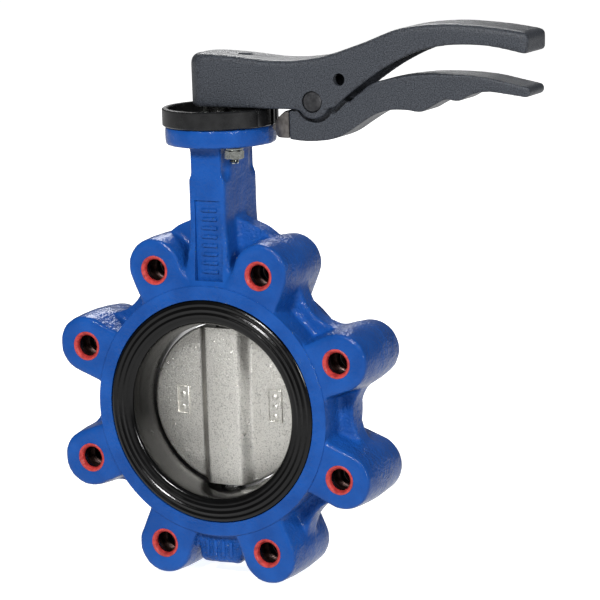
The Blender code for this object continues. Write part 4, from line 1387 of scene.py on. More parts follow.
    def lump_at(self, place: Vector, normal: Vector) -> float:
        """How far the sand's lumps raise or sink the surface.

        Args:
            place: A point of the surface.
            normal: Its normal.

        Returns:
            The distance.
        """
        (wide_scale, wide_rise), (close_scale, close_rise) = self.lumps
        wide = noise.noise(place * wide_scale)
        close = noise.noise(place * close_scale + Vector(self.lump_shift))
        return (wide * wide_rise + close * close_rise) * self.roughness_at(place, normal)

    def note_roughness(self, casting: bpy.types.Object) -> None:
        """Writes how rough the sand left each point, for the paint to follow.

        Args:
            casting: The finished casting.
        """
        attribute = casting.data.attributes.new("roughcast", "FLOAT", "POINT")
        values = [self.roughness_at(vertex.co, vertex.normal) for vertex in casting.data.vertices]
        attribute.data.foreach_set("value", values)

    def annulus(self, side: int) -> bpy.types.Object:
        """The machined face ring that stands a little proud of the lugs.

        Args:
            side: 1 or -1, the face that it stands on.

        Returns:
            The closed solid.
        """
        outer, inner = self.ring_radius, self.lip_radius - self.annulus_root
        low, high = self.lug_half_length - self.annulus_root, self.annulus_half_length
        edge = self.annulus_edge
        profile = [(inner, low), (outer, low), (outer, high - edge), (outer - edge, high),
                   (inner, high)]
        ring = turned("annulus", profile, Axis.PIPE, 160)
        return mirrored(ring) if side < 0 else ring

    def machine(self, casting: bpy.types.Object) -> None:
        """Sinks the neck's panel and bores the casting for the seat, the stems and the bolts.

        Args:
            casting: The casting, which is changed.
        """
        through = self.lug_half_length + BEYOND
        seat = turned("seat_cut", [
            (0, -through), (self.lip_radius, -through), (self.lip_radius, -self.lip_seat),
            (self.bore, -self.lip_seat), (self.bore, self.lip_seat), (self.lip_radius, self.lip_seat),
            (self.lip_radius, through), (0, through)], Axis.PIPE, 160)
        taps = []
        for angle in self.lug_angles:
            taps.append(rod("tap", self.tap_radius, -through, through, Axis.PIPE,
                            polar(self.bolt_circle, angle), 40))
        above = self.flange_top + BEYOND
        stem = turned("stem_cut", [
            (0, self.stem_floor), (self.stem_bore, self.stem_floor),
            (self.stem_bore, self.retainer_seat),
            (self.retainer_radius, self.retainer_seat), (self.retainer_radius, above), (0, above)])
        under = self.flange_top - self.flange_thickness - 2 * BURIED
        holes = [rod("flange_hole", self.flange_hole, under, above, centre=point, steps=32)
                 for point in self.flange_points()]
        combine(casting, [self.panel_bed()], Cut.REMOVE)
        combine(casting, [self.annulus(1), self.annulus(-1)], Cut.JOIN)
        combine(casting, [seat, *taps, stem, *holes], Cut.REMOVE)

    def tap_rings(self) -> bpy.types.Object:
        """The red-coated rim round both mouths of every tapped hole.

        Returns:
            The rims as one mesh.
        """
        profile = [(radius, self.lug_half_length + rise) for radius, rise in self.rim_profile]
        pair = [mirrored(turned("rim", profile, Axis.PIPE, 40)), turned("rim", profile, Axis.PIPE, 40)]
        return circle_pattern_tree().grow(
            merge("tap_rings", pair), Count=self.lug_count, Radius=self.bolt_circle,
            Phase=(0.0, 0.0, math.pi / self.lug_count), Material=self.paint.red)

    def tap_threads(self) -> bpy.types.Object:
        """The screw thread inside every tapped hole.

        Returns:
            The threads as one mesh.
        """
        length = 2 * (self.lug_half_length - self.thread_inset)
        seed = add_piece("tap_threads", bmesh.new())
        return thread_tree().grow(
            seed, Count=self.lug_count, Radius=self.bolt_circle,
            Phase=(0.0, 0.0, math.pi / self.lug_count), Helix_Radius=self.thread_radius,
            Turns=length / self.thread_pitch, Length=length, Ridge=self.thread_ridge,
            Start=(0.0, length / 2, 0.0), Material=self.paint.iron)

    def cast_marks(self) -> list[bpy.types.Object]:
        """Plain raised bars on the neck's panel and ribs on the bottom boss.

        Returns:
            The bars and the ribs, each as one mesh.
        """
        face = -self.neck_half_y + self.panel_depth
        left, right, half = self.neck_bar
        bar = bevelled(block("neck_marks", (left, face - self.neck_bar_proud, -half),
                             (right, face + BURIED, half)), self.mark_edge, 3)
        row = row_pattern_tree().grow(bar, Count=self.neck_bars, Start=(0.0, 0.0, self.neck_bar_start),
                                      Step=(0.0, 0.0, self.neck_bar_pitch), Material=self.paint.blue)
        face = -self.boss_half_y
        half_x, half_z = self.boss_rib
        rib = bevelled(block("boss_marks", (-half_x, face - self.boss_rib_proud, -half_z),
                             (half_x, face + self.boss_rib_root, half_z)), self.mark_edge, 3)
        first = -(self.boss_ribs - 1) / 2 * self.boss_rib_pitch
        ribs = row_pattern_tree().grow(rib, Count=self.boss_ribs,
                                       Start=(first, 0.0, self.boss_rib_centre),
                                       Step=(self.boss_rib_pitch, 0.0, 0.0), Material=self.paint.blue)
        for marks in (row, ribs):
            rough = marks.data.attributes.new("roughcast", "FLOAT", "POINT")
            rough.data.foreach_set("value", [self.mark_roughness] * len(marks.data.vertices))
        return [row, ribs]

    def make(self) -> None:
        """Builds and hands over the body's pieces."""
        casting = self.blank()
        self.weather(casting)
        self.machine(casting)
        self.note_roughness(casting)
        shade(casting)
        hand_over(casting, Carrier.VALVE, ["valve_body"], self.paint.blue)
        hand_over(shade(self.tap_rings()), Carrier.VALVE)
        hand_over(shade(self.tap_threads(), math.radians(60)), Carrier.VALVE)
        for marks in self.cast_marks():
            hand_over(shade(marks), Carrier.VALVE)


# ---- seat and disc -------------------------------------------------------------------------------


@dataclass
class SeatLiner:
    """The rubber seat, turned about the pipe, with moulded sealing ridges on both faces."""

    paint: Paintbox
    bore: float = 0.0504
    back: float = 0.0597
    lip: float = 0.0670
    lip_seat: float = 0.0217
    half_length: float = 0.0270
    stem_hole: float = 0.0073
    ridges: tuple[tuple[float, float, float], ...] = (
        (0.0648, 0.0009, 0.0005), (0.0616, 0.0010, 0.0008), (0.0584, 0.0009, 0.0005))
    ridge_room: float = 0.0009
    rim_width: float = 0.0012
    rim_drop: float = 0.0010
    mouth: float = 0.0560
    lip_steps: int = 40
    inlet: tuple[Point2, ...] = (
        (0.0543, -0.0004), (0.0529, -0.0021), (0.0519, -0.0058), (0.0511, -0.0105), (0.0505, -0.0150))
    bore_start: float = 0.0085

    def face_at(self, radius: float) -> float:
        """Height of the lip's face over the ridges.

        Args:
            radius: Distance from the pipe's axis.

        Returns:
            Distance from the middle plane.
        """
        level = self.half_length - self.ridge_room
        for centre, half_width, rise in self.ridges:
            reach = (radius - centre) / half_width
            level += rise * math.exp(-reach * reach)
        edge = max(0.0, radius - (self.lip - self.rim_width)) / self.rim_width
        return level - self.rim_drop * edge * edge

    def profile(self) -> Outline:
        """The seat's section: lip, ridges, rounded mouth, tapered bore.

        Returns:
            The closed (radius, height) loop.
        """
        width = self.lip - self.mouth
        radii = [self.lip - width * i / self.lip_steps for i in range(self.lip_steps + 1)]
        face = [(radius, self.face_at(radius)) for radius in radii]
        level = face[-1][1]
        inlet = [(radius, level + rise) for radius, rise in self.inlet]
        inlet = smooth_line([(self.mouth, level), *inlet, (self.bore, self.bore_start)], 5)[1:]
        front = [(self.back, self.lip_seat), (self.lip, self.lip_seat), *face, *inlet]
        return front + [(radius, -height) for radius, height in reversed(front)]

    def make(self) -> None:
        """Builds and hands over the seat."""
        seat = turned("rubber_seat", self.profile(), Axis.PIPE, 144)
        reach = self.back + BEYOND
        combine(seat, [rod("stem_hole", self.stem_hole, -reach, reach, steps=48)], Cut.REMOVE)
        hand_over(shade(seat), Carrier.VALVE, ["seat_liner"], self.paint.rubber)


@dataclass
class Disc:
    """The closing disc: a lens with a rounded hub down its middle, cast in stainless steel."""

    paint: Paintbox
    radius: float = 0.0500
    half_centre: float = 0.0042
    half_edge: float = 0.0024
    hub_flat: float = 0.0098
    hub_foot: float = 0.0172
    hub_half_thickness: float = 0.0109
    hub_end: float = 0.0475
    stem_hole: float = 0.0073
    socket: float = 0.0104
    drive_end: float = 0.0200
    drive_shoulder: float = 0.0380
    hub_crown: float = 0.0006
    edge_round: float = 0.0006
    edge_drop: float = 0.0004
    rings: int = 72
    spokes: int = 200
    marks: tuple[tuple[Point2, Point2, int], ...] = (
        ((-0.0300, 0.0008), (0.0042, 0.0086), 2), ((0.0318, 0.0010), (0.0046, 0.0098), 3))
    mark_root: float = 0.0005
    mark_height: float = 0.0014
    mark_line: float = 0.0008
    mark_edge: float = 0.00022
    dot_root: float = 0.0002
    dot_width: float = 0.5
    dot_share: float = 0.36
    dot_flatness: float = 0.55
    dot_start: float = 0.42

    def thickness_at(self, x: float, z: float) -> float:
        """Half the disc's thickness at a point, hub and fillets included.

        Args:
            x: Distance from the stem's axis, across.
            z: Distance from the pipe's axis, up.

        Returns:
            Distance from the middle plane.
        """
        outward = min(1.0, math.hypot(x, z) / self.radius)
        lens = self.half_centre + (self.half_edge - self.half_centre) * outward ** 2
        slope = min(1.0, max(0.0, (abs(x) - self.hub_flat) / (self.hub_foot - self.hub_flat)))
        rise = 1.0 - slope * slope * (3.0 - 2.0 * slope)
        crown = self.hub_crown * (x / self.hub_flat) ** 2
        return lens + max(0.0, self.hub_half_thickness - crown - lens) * rise

    def plate(self) -> bpy.types.Object:
        """The disc before its stem ends are cut, as two polar grids joined at the rim.

        Returns:
            The closed solid.
        """
        bm = bmesh.new()
        sides = []
        for side in (-1, 1):
            centre = bm.verts.new((0, side * self.thickness_at(0, 0), 0))
            grid = []
            for ring in range(1, self.rings + 1):
                radius = (self.radius - self.edge_round) * (ring / self.rings)
                row = []
                for spoke in range(self.spokes):
                    x, z = polar(radius, 360 * spoke / self.spokes)
                    y = self.thickness_at(x, z)
                    if ring == self.rings:
                        y = max(y - self.edge_drop, 0.0)
                    row.append(bm.verts.new((x, side * y, z)))
                grid.append(row)
            sides.append((centre, grid))
        for centre, grid in sides:
            for spoke in range(self.spokes):
                after = (spoke + 1) % self.spokes
                bm.faces.new((centre, grid[0][spoke], grid[0][after]))
                for inner, outer in zip(grid, grid[1:]):
                    bm.faces.new((inner[spoke], outer[spoke], outer[after], inner[after]))
        front, back = sides[0][1][-1], sides[1][1][-1]
        for spoke in range(self.spokes):
            after = (spoke + 1) % self.spokes
            bm.faces.new((front[spoke], back[spoke], back[after], front[after]))
        return add_piece("valve_disc", bm)

    def mark_frame(self, centre: Point2, half: Point2, dots: int) -> bpy.types.Object:
        """A raised frame with round dots inside it, standing on the disc's front face.

        Args:
            centre: Its (x, z) centre.
            half: Half its width and height.
            dots: Number of dots.

        Returns:
            The frame and its dots as one mesh.
        """
        foot = -self.thickness_at(*centre) + self.mark_root
        top = foot - self.mark_height
        line = self.mark_line
        (x, z), (half_x, half_z) = centre, half
        frame = block("frame", (x - half_x, top, z - half_z), (x + half_x, foot, z + half_z))
        hole = block("hole", (x - half_x + line, top - BURIED, z - half_z + line),
                     (x + half_x - line, foot + BURIED, z + half_z - line))
        combine(frame, [hole], Cut.REMOVE)
        pitch = 2 * (half_z - line) / dots
        size = min(half_x * self.dot_width, pitch * self.dot_share)
        base = -foot - self.dot_root
        dome = [(radius, height + base) for radius, height in arc((0.0, 0.0), size, 0, 90, 6)]
        dot = turned("dot", [(0.0, base), *dome], Axis.PIPE, 20)
        dot.data.transform(Matrix.Translation((x, 0, 0)) @ Matrix.Diagonal((1, -1, 1, 1)))
        flatten = Matrix.Diagonal((1, self.dot_flatness, 1, 1))
        dot.data.transform(Matrix.Translation((0, foot, 0)) @ flatten @ Matrix.Translation((0, -foot, 0)))
        dot.data.flip_normals()
        first = z - half_z + line + pitch * self.dot_start
        row = row_pattern_tree().grow(dot, Count=dots, Start=(0.0, 0.0, first),
                                      Step=(0.0, 0.0, pitch), Material=self.paint.stainless)
        return bevelled(merge("mark", [frame, row]), self.mark_edge, 2)

    def make(self) -> None:
        """Builds and hands over the disc and its cast marks."""
        disc = self.plate()
        beyond = self.radius + BEYOND
        wide = self.radius
        ends = [block("end", (-wide, -wide, low), (wide, wide, high))
                for low, high in ((-beyond, -self.hub_end), (self.hub_end, beyond))]
        holes = [flats("drive_socket", self.socket, self.drive_end, beyond, 4),
                 rod("upper_socket", self.stem_hole, self.drive_shoulder, beyond),
                 rod("lower_socket", self.stem_hole, -beyond, -self.drive_end)]
        combine(disc, [*ends, *holes], Cut.REMOVE)
        hand_over(shade(disc), Carrier.LEVER, ["disc"], self.paint.stainless)
        marks = merge("disc_marks", [self.mark_frame(*mark) for mark in self.marks])
        hand_over(shade(marks), Carrier.LEVER, (), self.paint.stainless)


# ---- top flange hardware -------------------------------------------------------------------------


@dataclass
class NotchPlate:
    """The black plate on the top flange: rim, stops and the notches of the quarter turn."""

    paint: Paintbox
    outer: float = 0.03425
    rim: float = 0.0035
    centre_hole: float = 0.0076
    floor: float = 0.0037
    notch_count: int = 10
    notch_width: float = 0.0036
    notch_depth: float = 0.0022
    stop_angle: float = 19.0
    stop_proud: float = 0.0012
    stop_half_width: float = 0.0030
    stop_edge: float = 0.0005
    stop_inset: float = 0.0004
    edge: float = 0.0006
    floor_fillet: float = 0.0008
    bolt_circle: float = 0.0250
    bolt_hole: float = 0.0033

    def make(self) -> None:
        """Builds and hands over the plate."""
        low, high = (corner.z for corner in map(Vector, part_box("notch_plate")))
        inner = self.outer - self.rim
        edge, fillet, inset = self.edge, self.floor_fillet, self.stop_inset
        floor = low + self.floor
        profile = [(self.outer - edge, high), (self.outer, high - edge), (self.outer, low + edge),
                   (self.outer - edge, low), (self.centre_hole, low), (self.centre_hole, floor),
                   (inner - fillet, floor), (inner, floor + fillet), (inner, high - edge),
                   (inner + edge, high)]
        plate = turned("latch_plate", profile, steps=144)
        stops = []
        for angle in (-self.stop_angle, 90 + self.stop_angle):
            stop = bevelled(block("stop", (inner + inset, -self.stop_half_width, low + inset),
                                  (self.outer + self.stop_proud, self.stop_half_width, high - inset)),
                            self.stop_edge)
            stop.data.transform(Matrix.Rotation(math.radians(angle), 4, "Z"))
            stops.append(stop)
        combine(plate, stops, Cut.JOIN)
        cuts = []
        for k in range(self.notch_count):
            cut = block("notch", (self.outer - self.notch_depth, -self.notch_width / 2, low - BEYOND),
                        (self.outer + BEYOND, self.notch_width / 2, high + BEYOND))
            cut.data.transform(Matrix.Rotation(math.radians(90 * k / (self.notch_count - 1)), 4, "Z"))
            cuts.append(cut)
        reach = self.bolt_circle / math.sqrt(2)
        for sign in (-1, 1):
            cuts.append(rod("bolt_hole", self.bolt_hole, low - BEYOND, floor + BURIED,
                            centre=(sign * reach, -sign * reach), steps=32))
        combine(plate, cuts, Cut.REMOVE)
        hand_over(shade(plate), Carrier.VALVE, ["notch_plate"], self.paint.black)


@dataclass
class PlateFasteners:
    """The two hexagon bolts of the notch plate, with washers and nuts."""

    paint: Paintbox
    across_flats: float = 0.0100
    shank: float = 0.0030
    washer_radius: float = 0.0054
    washer_edge: float = 0.0002
    head_height: float = 0.0040
    head_root: float = 0.0005
    thread_pitch: float = 0.0010
    thread_depth: float = 0.00055
    point: float = 0.0008
    corner_room: float = 0.0004
    mouth_share: float = 0.97
    chamfer: float = 30.0
    bolt_circle: float = 0.0250

    def hexagon(self, name: str, low: float, high: float, chamfer_low: bool,
                chamfer_high: bool) -> bpy.types.Object:
        """A hexagon with its corners turned off at one or both ends.

        Args:
            name: Name of the piece.
            low: Its lower face.
            high: Its upper face.
            chamfer_low: Whether the lower corners are turned off.
            chamfer_high: Whether the upper corners are.

        Returns:
            The closed solid, on the stem's axis.
        """
        corner = self.across_flats / 2 / math.cos(math.pi / 6) + self.corner_room
        mouth = self.across_flats / 2 * self.mouth_share
        drop = (corner - mouth) * math.tan(math.radians(self.chamfer))
        profile = [(0, low), (mouth if chamfer_low else corner, low),
                   (corner, low + drop * chamfer_low), (corner, high - drop * chamfer_high),
                   (mouth if chamfer_high else corner, high), (0, high)]
        head = flats(name, self.across_flats, low, high, 6)
        return combine(head, [turned("turned_corners", profile, steps=72)], Cut.KEEP_COMMON)

    def threaded_end(self, low: float, high: float) -> bpy.types.Object:
        """The shank's thread, as rings of V section with a pointed end.

        Args:
            low: Where it starts.
            high: Where it ends.

        Returns:
            The closed solid.
        """
        pitch = self.thread_pitch
        count = int((high - low) / pitch)
        profile: Outline = [(0, low), (self.shank - self.point, low)]
        for k in range(count):
            z = low + pitch / 2 + pitch * k
            profile += [(self.shank - self.thread_depth, z), (self.shank, z + pitch / 2)]
        return turned("thread", [*profile, (self.shank - CLEARANCE, high), (0, high)], steps=32)

    def make(self) -> None:
        """Builds and hands over the fasteners, repeated on the bolt circle."""
        bolt_low, bolt_high = (corner[2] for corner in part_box("notch_plate_bolt_1"))
        nut_low, nut_high = (corner[2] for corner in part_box("notch_plate_nut_1"))
        washers = [[corner[2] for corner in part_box(name)] for name in ("head_washer_1", "nut_washer_1")]
        head_low = bolt_high - self.head_height
        head = self.hexagon("head", head_low, bolt_high, False, True)
        root = head_low + self.head_root
        shank = turned("shank", [(0, nut_high), (self.shank, nut_high), (self.shank, root), (0, root)],
                       steps=32)
        bolt = merge("bolt", [combine(head, [shank], Cut.JOIN),
                              self.threaded_end(bolt_low, nut_high - SLIVER)])
        nut = self.hexagon("nut", nut_low, nut_high, True, True)
        nut_hole = rod("nut_hole", self.shank + SLIVER, nut_low - BURIED, nut_high + BURIED, steps=32)
        combine(nut, [nut_hole], Cut.REMOVE)
        outer, inner, edge = self.washer_radius, self.shank + CLEARANCE, self.washer_edge
        rings = [turned("washer", [(outer, high - edge), (outer, low + edge), (outer - edge, low),
                                   (inner, low), (inner, high), (outer - edge, high)], steps=48)
                 for low, high in washers]
        fasteners = merge("plate_fasteners", [bolt, nut, *rings])
        reach = self.bolt_circle / math.sqrt(2)
        row_pattern_tree().grow(fasteners, Count=2, Start=(reach, -reach, 0.0),
                                Step=(-2 * reach, 2 * reach, 0.0), Material=self.paint.zinc)
        names = [f"{kind}_{i}" for i in (1, 2)
                 for kind in ("notch_plate_bolt", "notch_plate_nut", "head_washer", "nut_washer")]
        hand_over(shade(fasteners, math.radians(25)), Carrier.VALVE, names)


# ---- lever ---------------------------------------------------------------------------------------


@dataclass
class Lever:
    """The hollow cast lever with its socket, clamp screw recess, pin holes and padlock hole."""

    paint: Paintbox
    half_width: float = 0.0150
    hub_radius: float = 0.0160
    cheek: float = 0.0032
    roof: float = 0.0040
    pin: Point2 = (0.0675, 0.0048)
    lobe: float = 0.0102
    pin_hole: float = 0.0063
    padlock: Point2 = (0.0850, 0.0180)
    padlock_hole: float = 0.0036
    socket: float = 0.0116
    socket_depth: float = 0.0185
    screw_x: float = 0.0184
    screw_head: float = 0.0045
    voxel: float = 0.00095
    rounding: int = 4
    edge_radius: float = 0.0030
    hub_corner: float = 0.0062
    end_radius: float = 0.0038
    side_corner: float = 0.0078
    crown_fade: Point2 = (0.012, 0.024)
    end_share: float = 0.7
    channel_start: float = 0.0445
    depth_below: float = 0.03
    height_above: float = 0.08
    plate_gap: float = 0.0006
    head_height: float = 0.0040
    screw_hole: float = 0.0028
    top_line: tuple[Point2, ...] = (
        (0.0000, 0.0313), (0.0178, 0.0301), (0.0448, 0.0280), (0.0715, 0.0305), (0.0981, 0.0386),
        (0.1226, 0.0475), (0.1498, 0.0505), (0.1780, 0.0491), (0.2004, 0.0460))
    under_line: tuple[Point2, ...] = (
        (0.1994, 0.0339), (0.1840, 0.0371), (0.1715, 0.0386), (0.1574, 0.0387), (0.1431, 0.0370),
        (0.1302, 0.0333), (0.1172, 0.0272), (0.1057, 0.0203), (0.0906, 0.0096), (0.0805, 0.0011))

    def __post_init__(self) -> None:
        """Reads the lever's underside from the model."""
        self.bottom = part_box("lever_clamp_plate")[0][2] - self.plate_gap

    def raised(self, points: Iterable[Point2]) -> Outline:
        """Lifts outline points from the lever's underside to their height."""
        return [(x, self.bottom + z) for x, z in points]

    def outline(self) -> Outline:
        """The lever from the side.

        Returns:
            The closed (x, z) outline.
        """
        corner = self.side_corner
        left = -self.hub_radius
        top = self.bottom + self.top_line[0][1]
        outline = arc((left + corner, top - corner), corner, 180, 90, 12)
        outline += self.raised(smooth_line(self.top_line, 10))
        outline += self.raised(smooth_line(self.under_line, 8))
        pin_x, pin_rise = self.pin
        left_end = 180 + math.degrees(math.asin(pin_rise / self.lobe))
        outline += arc((pin_x, self.bottom + pin_rise), self.lobe, -18, left_end - 360, 30)
        return [*outline, (left, self.bottom)]

    def plan(self) -> Outline:
        """The lever from above.

        Returns:
            The closed (x, y) outline.
        """
        side = math.degrees(math.asin(self.half_width / self.hub_radius))
        reach = self.top_line[-1][0] + BEYOND
        return [*arc((0, 0), self.hub_radius, 180 - side, 180 + side, 40),
                (reach, -self.half_width), (reach, self.half_width)]

    def channel(self) -> bpy.types.Object:
        """The hollow under the grip.

        Returns:
            The closed solid to take away.
        """
        start, end = self.channel_start, self.under_line[0][0] - self.roof
        top = self.raised(smooth_line(self.top_line, 6))
        roof = [(x, z - self.roof) for x, z in top if start < x < end]
        low = self.bottom - self.depth_below
        outline = [(start, low), (start, roof[0][1]), *roof, (end, roof[-1][1]), (end, low)]
        side = self.half_width - self.cheek
        return side_plate("channel", outline, -side, side)

    def top_at(self, x: float) -> float:
        """Height of the lever's top line.

        Args:
            x: Distance from the stem's axis along the lever.

        Returns:
            The height.
        """
        line = self.raised(smooth_line(self.top_line, 10))
        for (x0, z0), (x1, z1) in zip(line, line[1:]):
            if x0 <= x <= x1:
                return z0 + (z1 - z0) * (x - x0) / (x1 - x0)
        return line[0][1] if x < line[0][0] else line[-1][1]

    def round_crown(self, lever: bpy.types.Object) -> None:
        """Draws the lever's flanks in below its top face, most at the hub, and rounds the grip's end.

        Args:
            lever: The lever, on its even grid.
        """
        end = self.top_line[-1][0]
        for vertex in lever.data.vertices:
            x, y, z = vertex.co
            start, span = self.crown_fade
            share = min(1.0, max(0.0, (start - x) / span))
            corner = self.edge_radius + (self.hub_corner - self.edge_radius) * share
            top = self.top_at(x)
            inset = drawn_in(top - z, corner)
            if x < 0:
                reach = math.hypot(x, y)
                draw = min(1.0, (self.hub_radius - inset) / max(reach, ON_AXIS))
                x, y = x * draw, y * draw
            inset = max(inset, drawn_in(end - x, self.end_radius))
            side = self.half_width - inset
            low = self.bottom + self.under_line[0][1]
            squeeze = drawn_in(end - x, self.end_radius)
            if squeeze > 0:
                z = min(max(z, low + squeeze * self.end_share), top - squeeze)
            vertex.co = (x, min(max(y, -side), side), z)
        lever.data.update()

    def make(self) -> None:
        """Builds and hands over the lever."""
        lever = side_plate("hand_lever", self.outline(), -self.half_width, self.half_width)
        high = self.bottom + self.height_above
        plan = plan_plate("plan", self.plan(), self.bottom - self.depth_below, high)
        combine(lever, [plan], Cut.KEEP_COMMON, "EXACT")
        soften(lever, self.voxel, self.rounding)
        self.round_crown(lever)
        soften(lever, self.voxel, 3)
        combine(lever, [self.channel()], Cut.REMOVE)
        soften(lever, self.voxel, 2)
        wide = self.half_width + BEYOND
        low = self.bottom - BURIED
        gap = CLEARANCE
        plate_low, plate_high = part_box("lever_clamp_plate")
        head_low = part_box("lever_clamp_screw")[1][2] - self.head_height
        (pin,), (padlock,) = self.raised([self.pin]), self.raised([self.padlock])
        screw = (self.screw_x, 0.0)
        cuts = [
            flats("socket", self.socket, low, self.bottom + self.socket_depth, 4),
            block("clamp_pocket", (plate_low[0] - BURIED, plate_low[1] - gap, low),
                  (plate_high[0] + gap, plate_high[1] + gap, plate_high[2] + gap)),
            rod("screw_hole", self.screw_hole, low, high, centre=screw, steps=32),
            rod("screw_recess", self.screw_head, head_low - gap, high, centre=screw, steps=48),
            rod("pin_hole", self.pin_hole, -wide, wide, Axis.PIPE, pin),
            rod("padlock_hole", self.padlock_hole, -wide, wide, Axis.PIPE, padlock),
        ]
        combine(lever, cuts, Cut.REMOVE)
        hand_over(shade(lever), Carrier.LEVER, ["lever_handle"], self.paint.slate)


@dataclass
class LeverHardware:
    """The clamp screw in the lever's top and the trigger's pin."""

    paint: Paintbox
    pin_radius: float = 0.0060
    head_radius: float = 0.0042
    shank_radius: float = 0.0025
    head_height: float = 0.0040
    key_across: float = 0.0040
    key_depth: float = 0.0022
    screw_edge: float = 0.0004
    pin_edge: float = 0.0007

    def clamp_screw(self) -> None:
        """The socket-head screw in the lever's top."""
        low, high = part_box("lever_clamp_screw")
        centre = ((low[0] + high[0]) / 2, 0.0)
        neck = high[2] - self.head_height
        edge = self.screw_edge
        screw = turned("clamp_screw", [
            (0, low[2]), (self.shank_radius - edge, low[2]), (self.shank_radius, low[2] + edge),
            (self.shank_radius, neck), (self.head_radius, neck), (self.head_radius, high[2] - edge),
            (self.head_radius - edge, high[2]), (0, high[2])], steps=64)
        key = flats("key", self.key_across, high[2] - self.key_depth, high[2] + BURIED, 6)
        combine(screw, [key], Cut.REMOVE)
        screw.data.transform(Matrix.Translation((*centre, 0)))
        hand_over(shade(screw, math.radians(30)), Carrier.LEVER, ["lever_clamp_screw"],
                  self.paint.dark_steel)

    def pivot_pin(self) -> None:
        """The trigger's pin, domed at both ends."""
        low, high = (Vector(corner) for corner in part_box("trigger_pin"))
        centre = (low + high) / 2
        reach = high.y
        edge = self.pin_edge
        half = [(self.pin_radius, reach - edge), (self.pin_radius - edge, reach), (0, reach)]
        pin = turned("pivot_pin", [(radius, -height) for radius, height in reversed(half)] + half,
                     Axis.PIPE, 64)
        pin.data.transform(Matrix.Translation((centre.x, 0, centre.z)))
        hand_over(shade(pin, math.radians(30)), Carrier.LEVER, ["trigger_pin"],
                  self.paint.dark_steel)

    def make(self) -> None:
        """Builds and hands over the lever's small pieces."""
        self.clamp_screw()
        self.pivot_pin()


# ---- trigger -------------------------------------------------------------------------------------


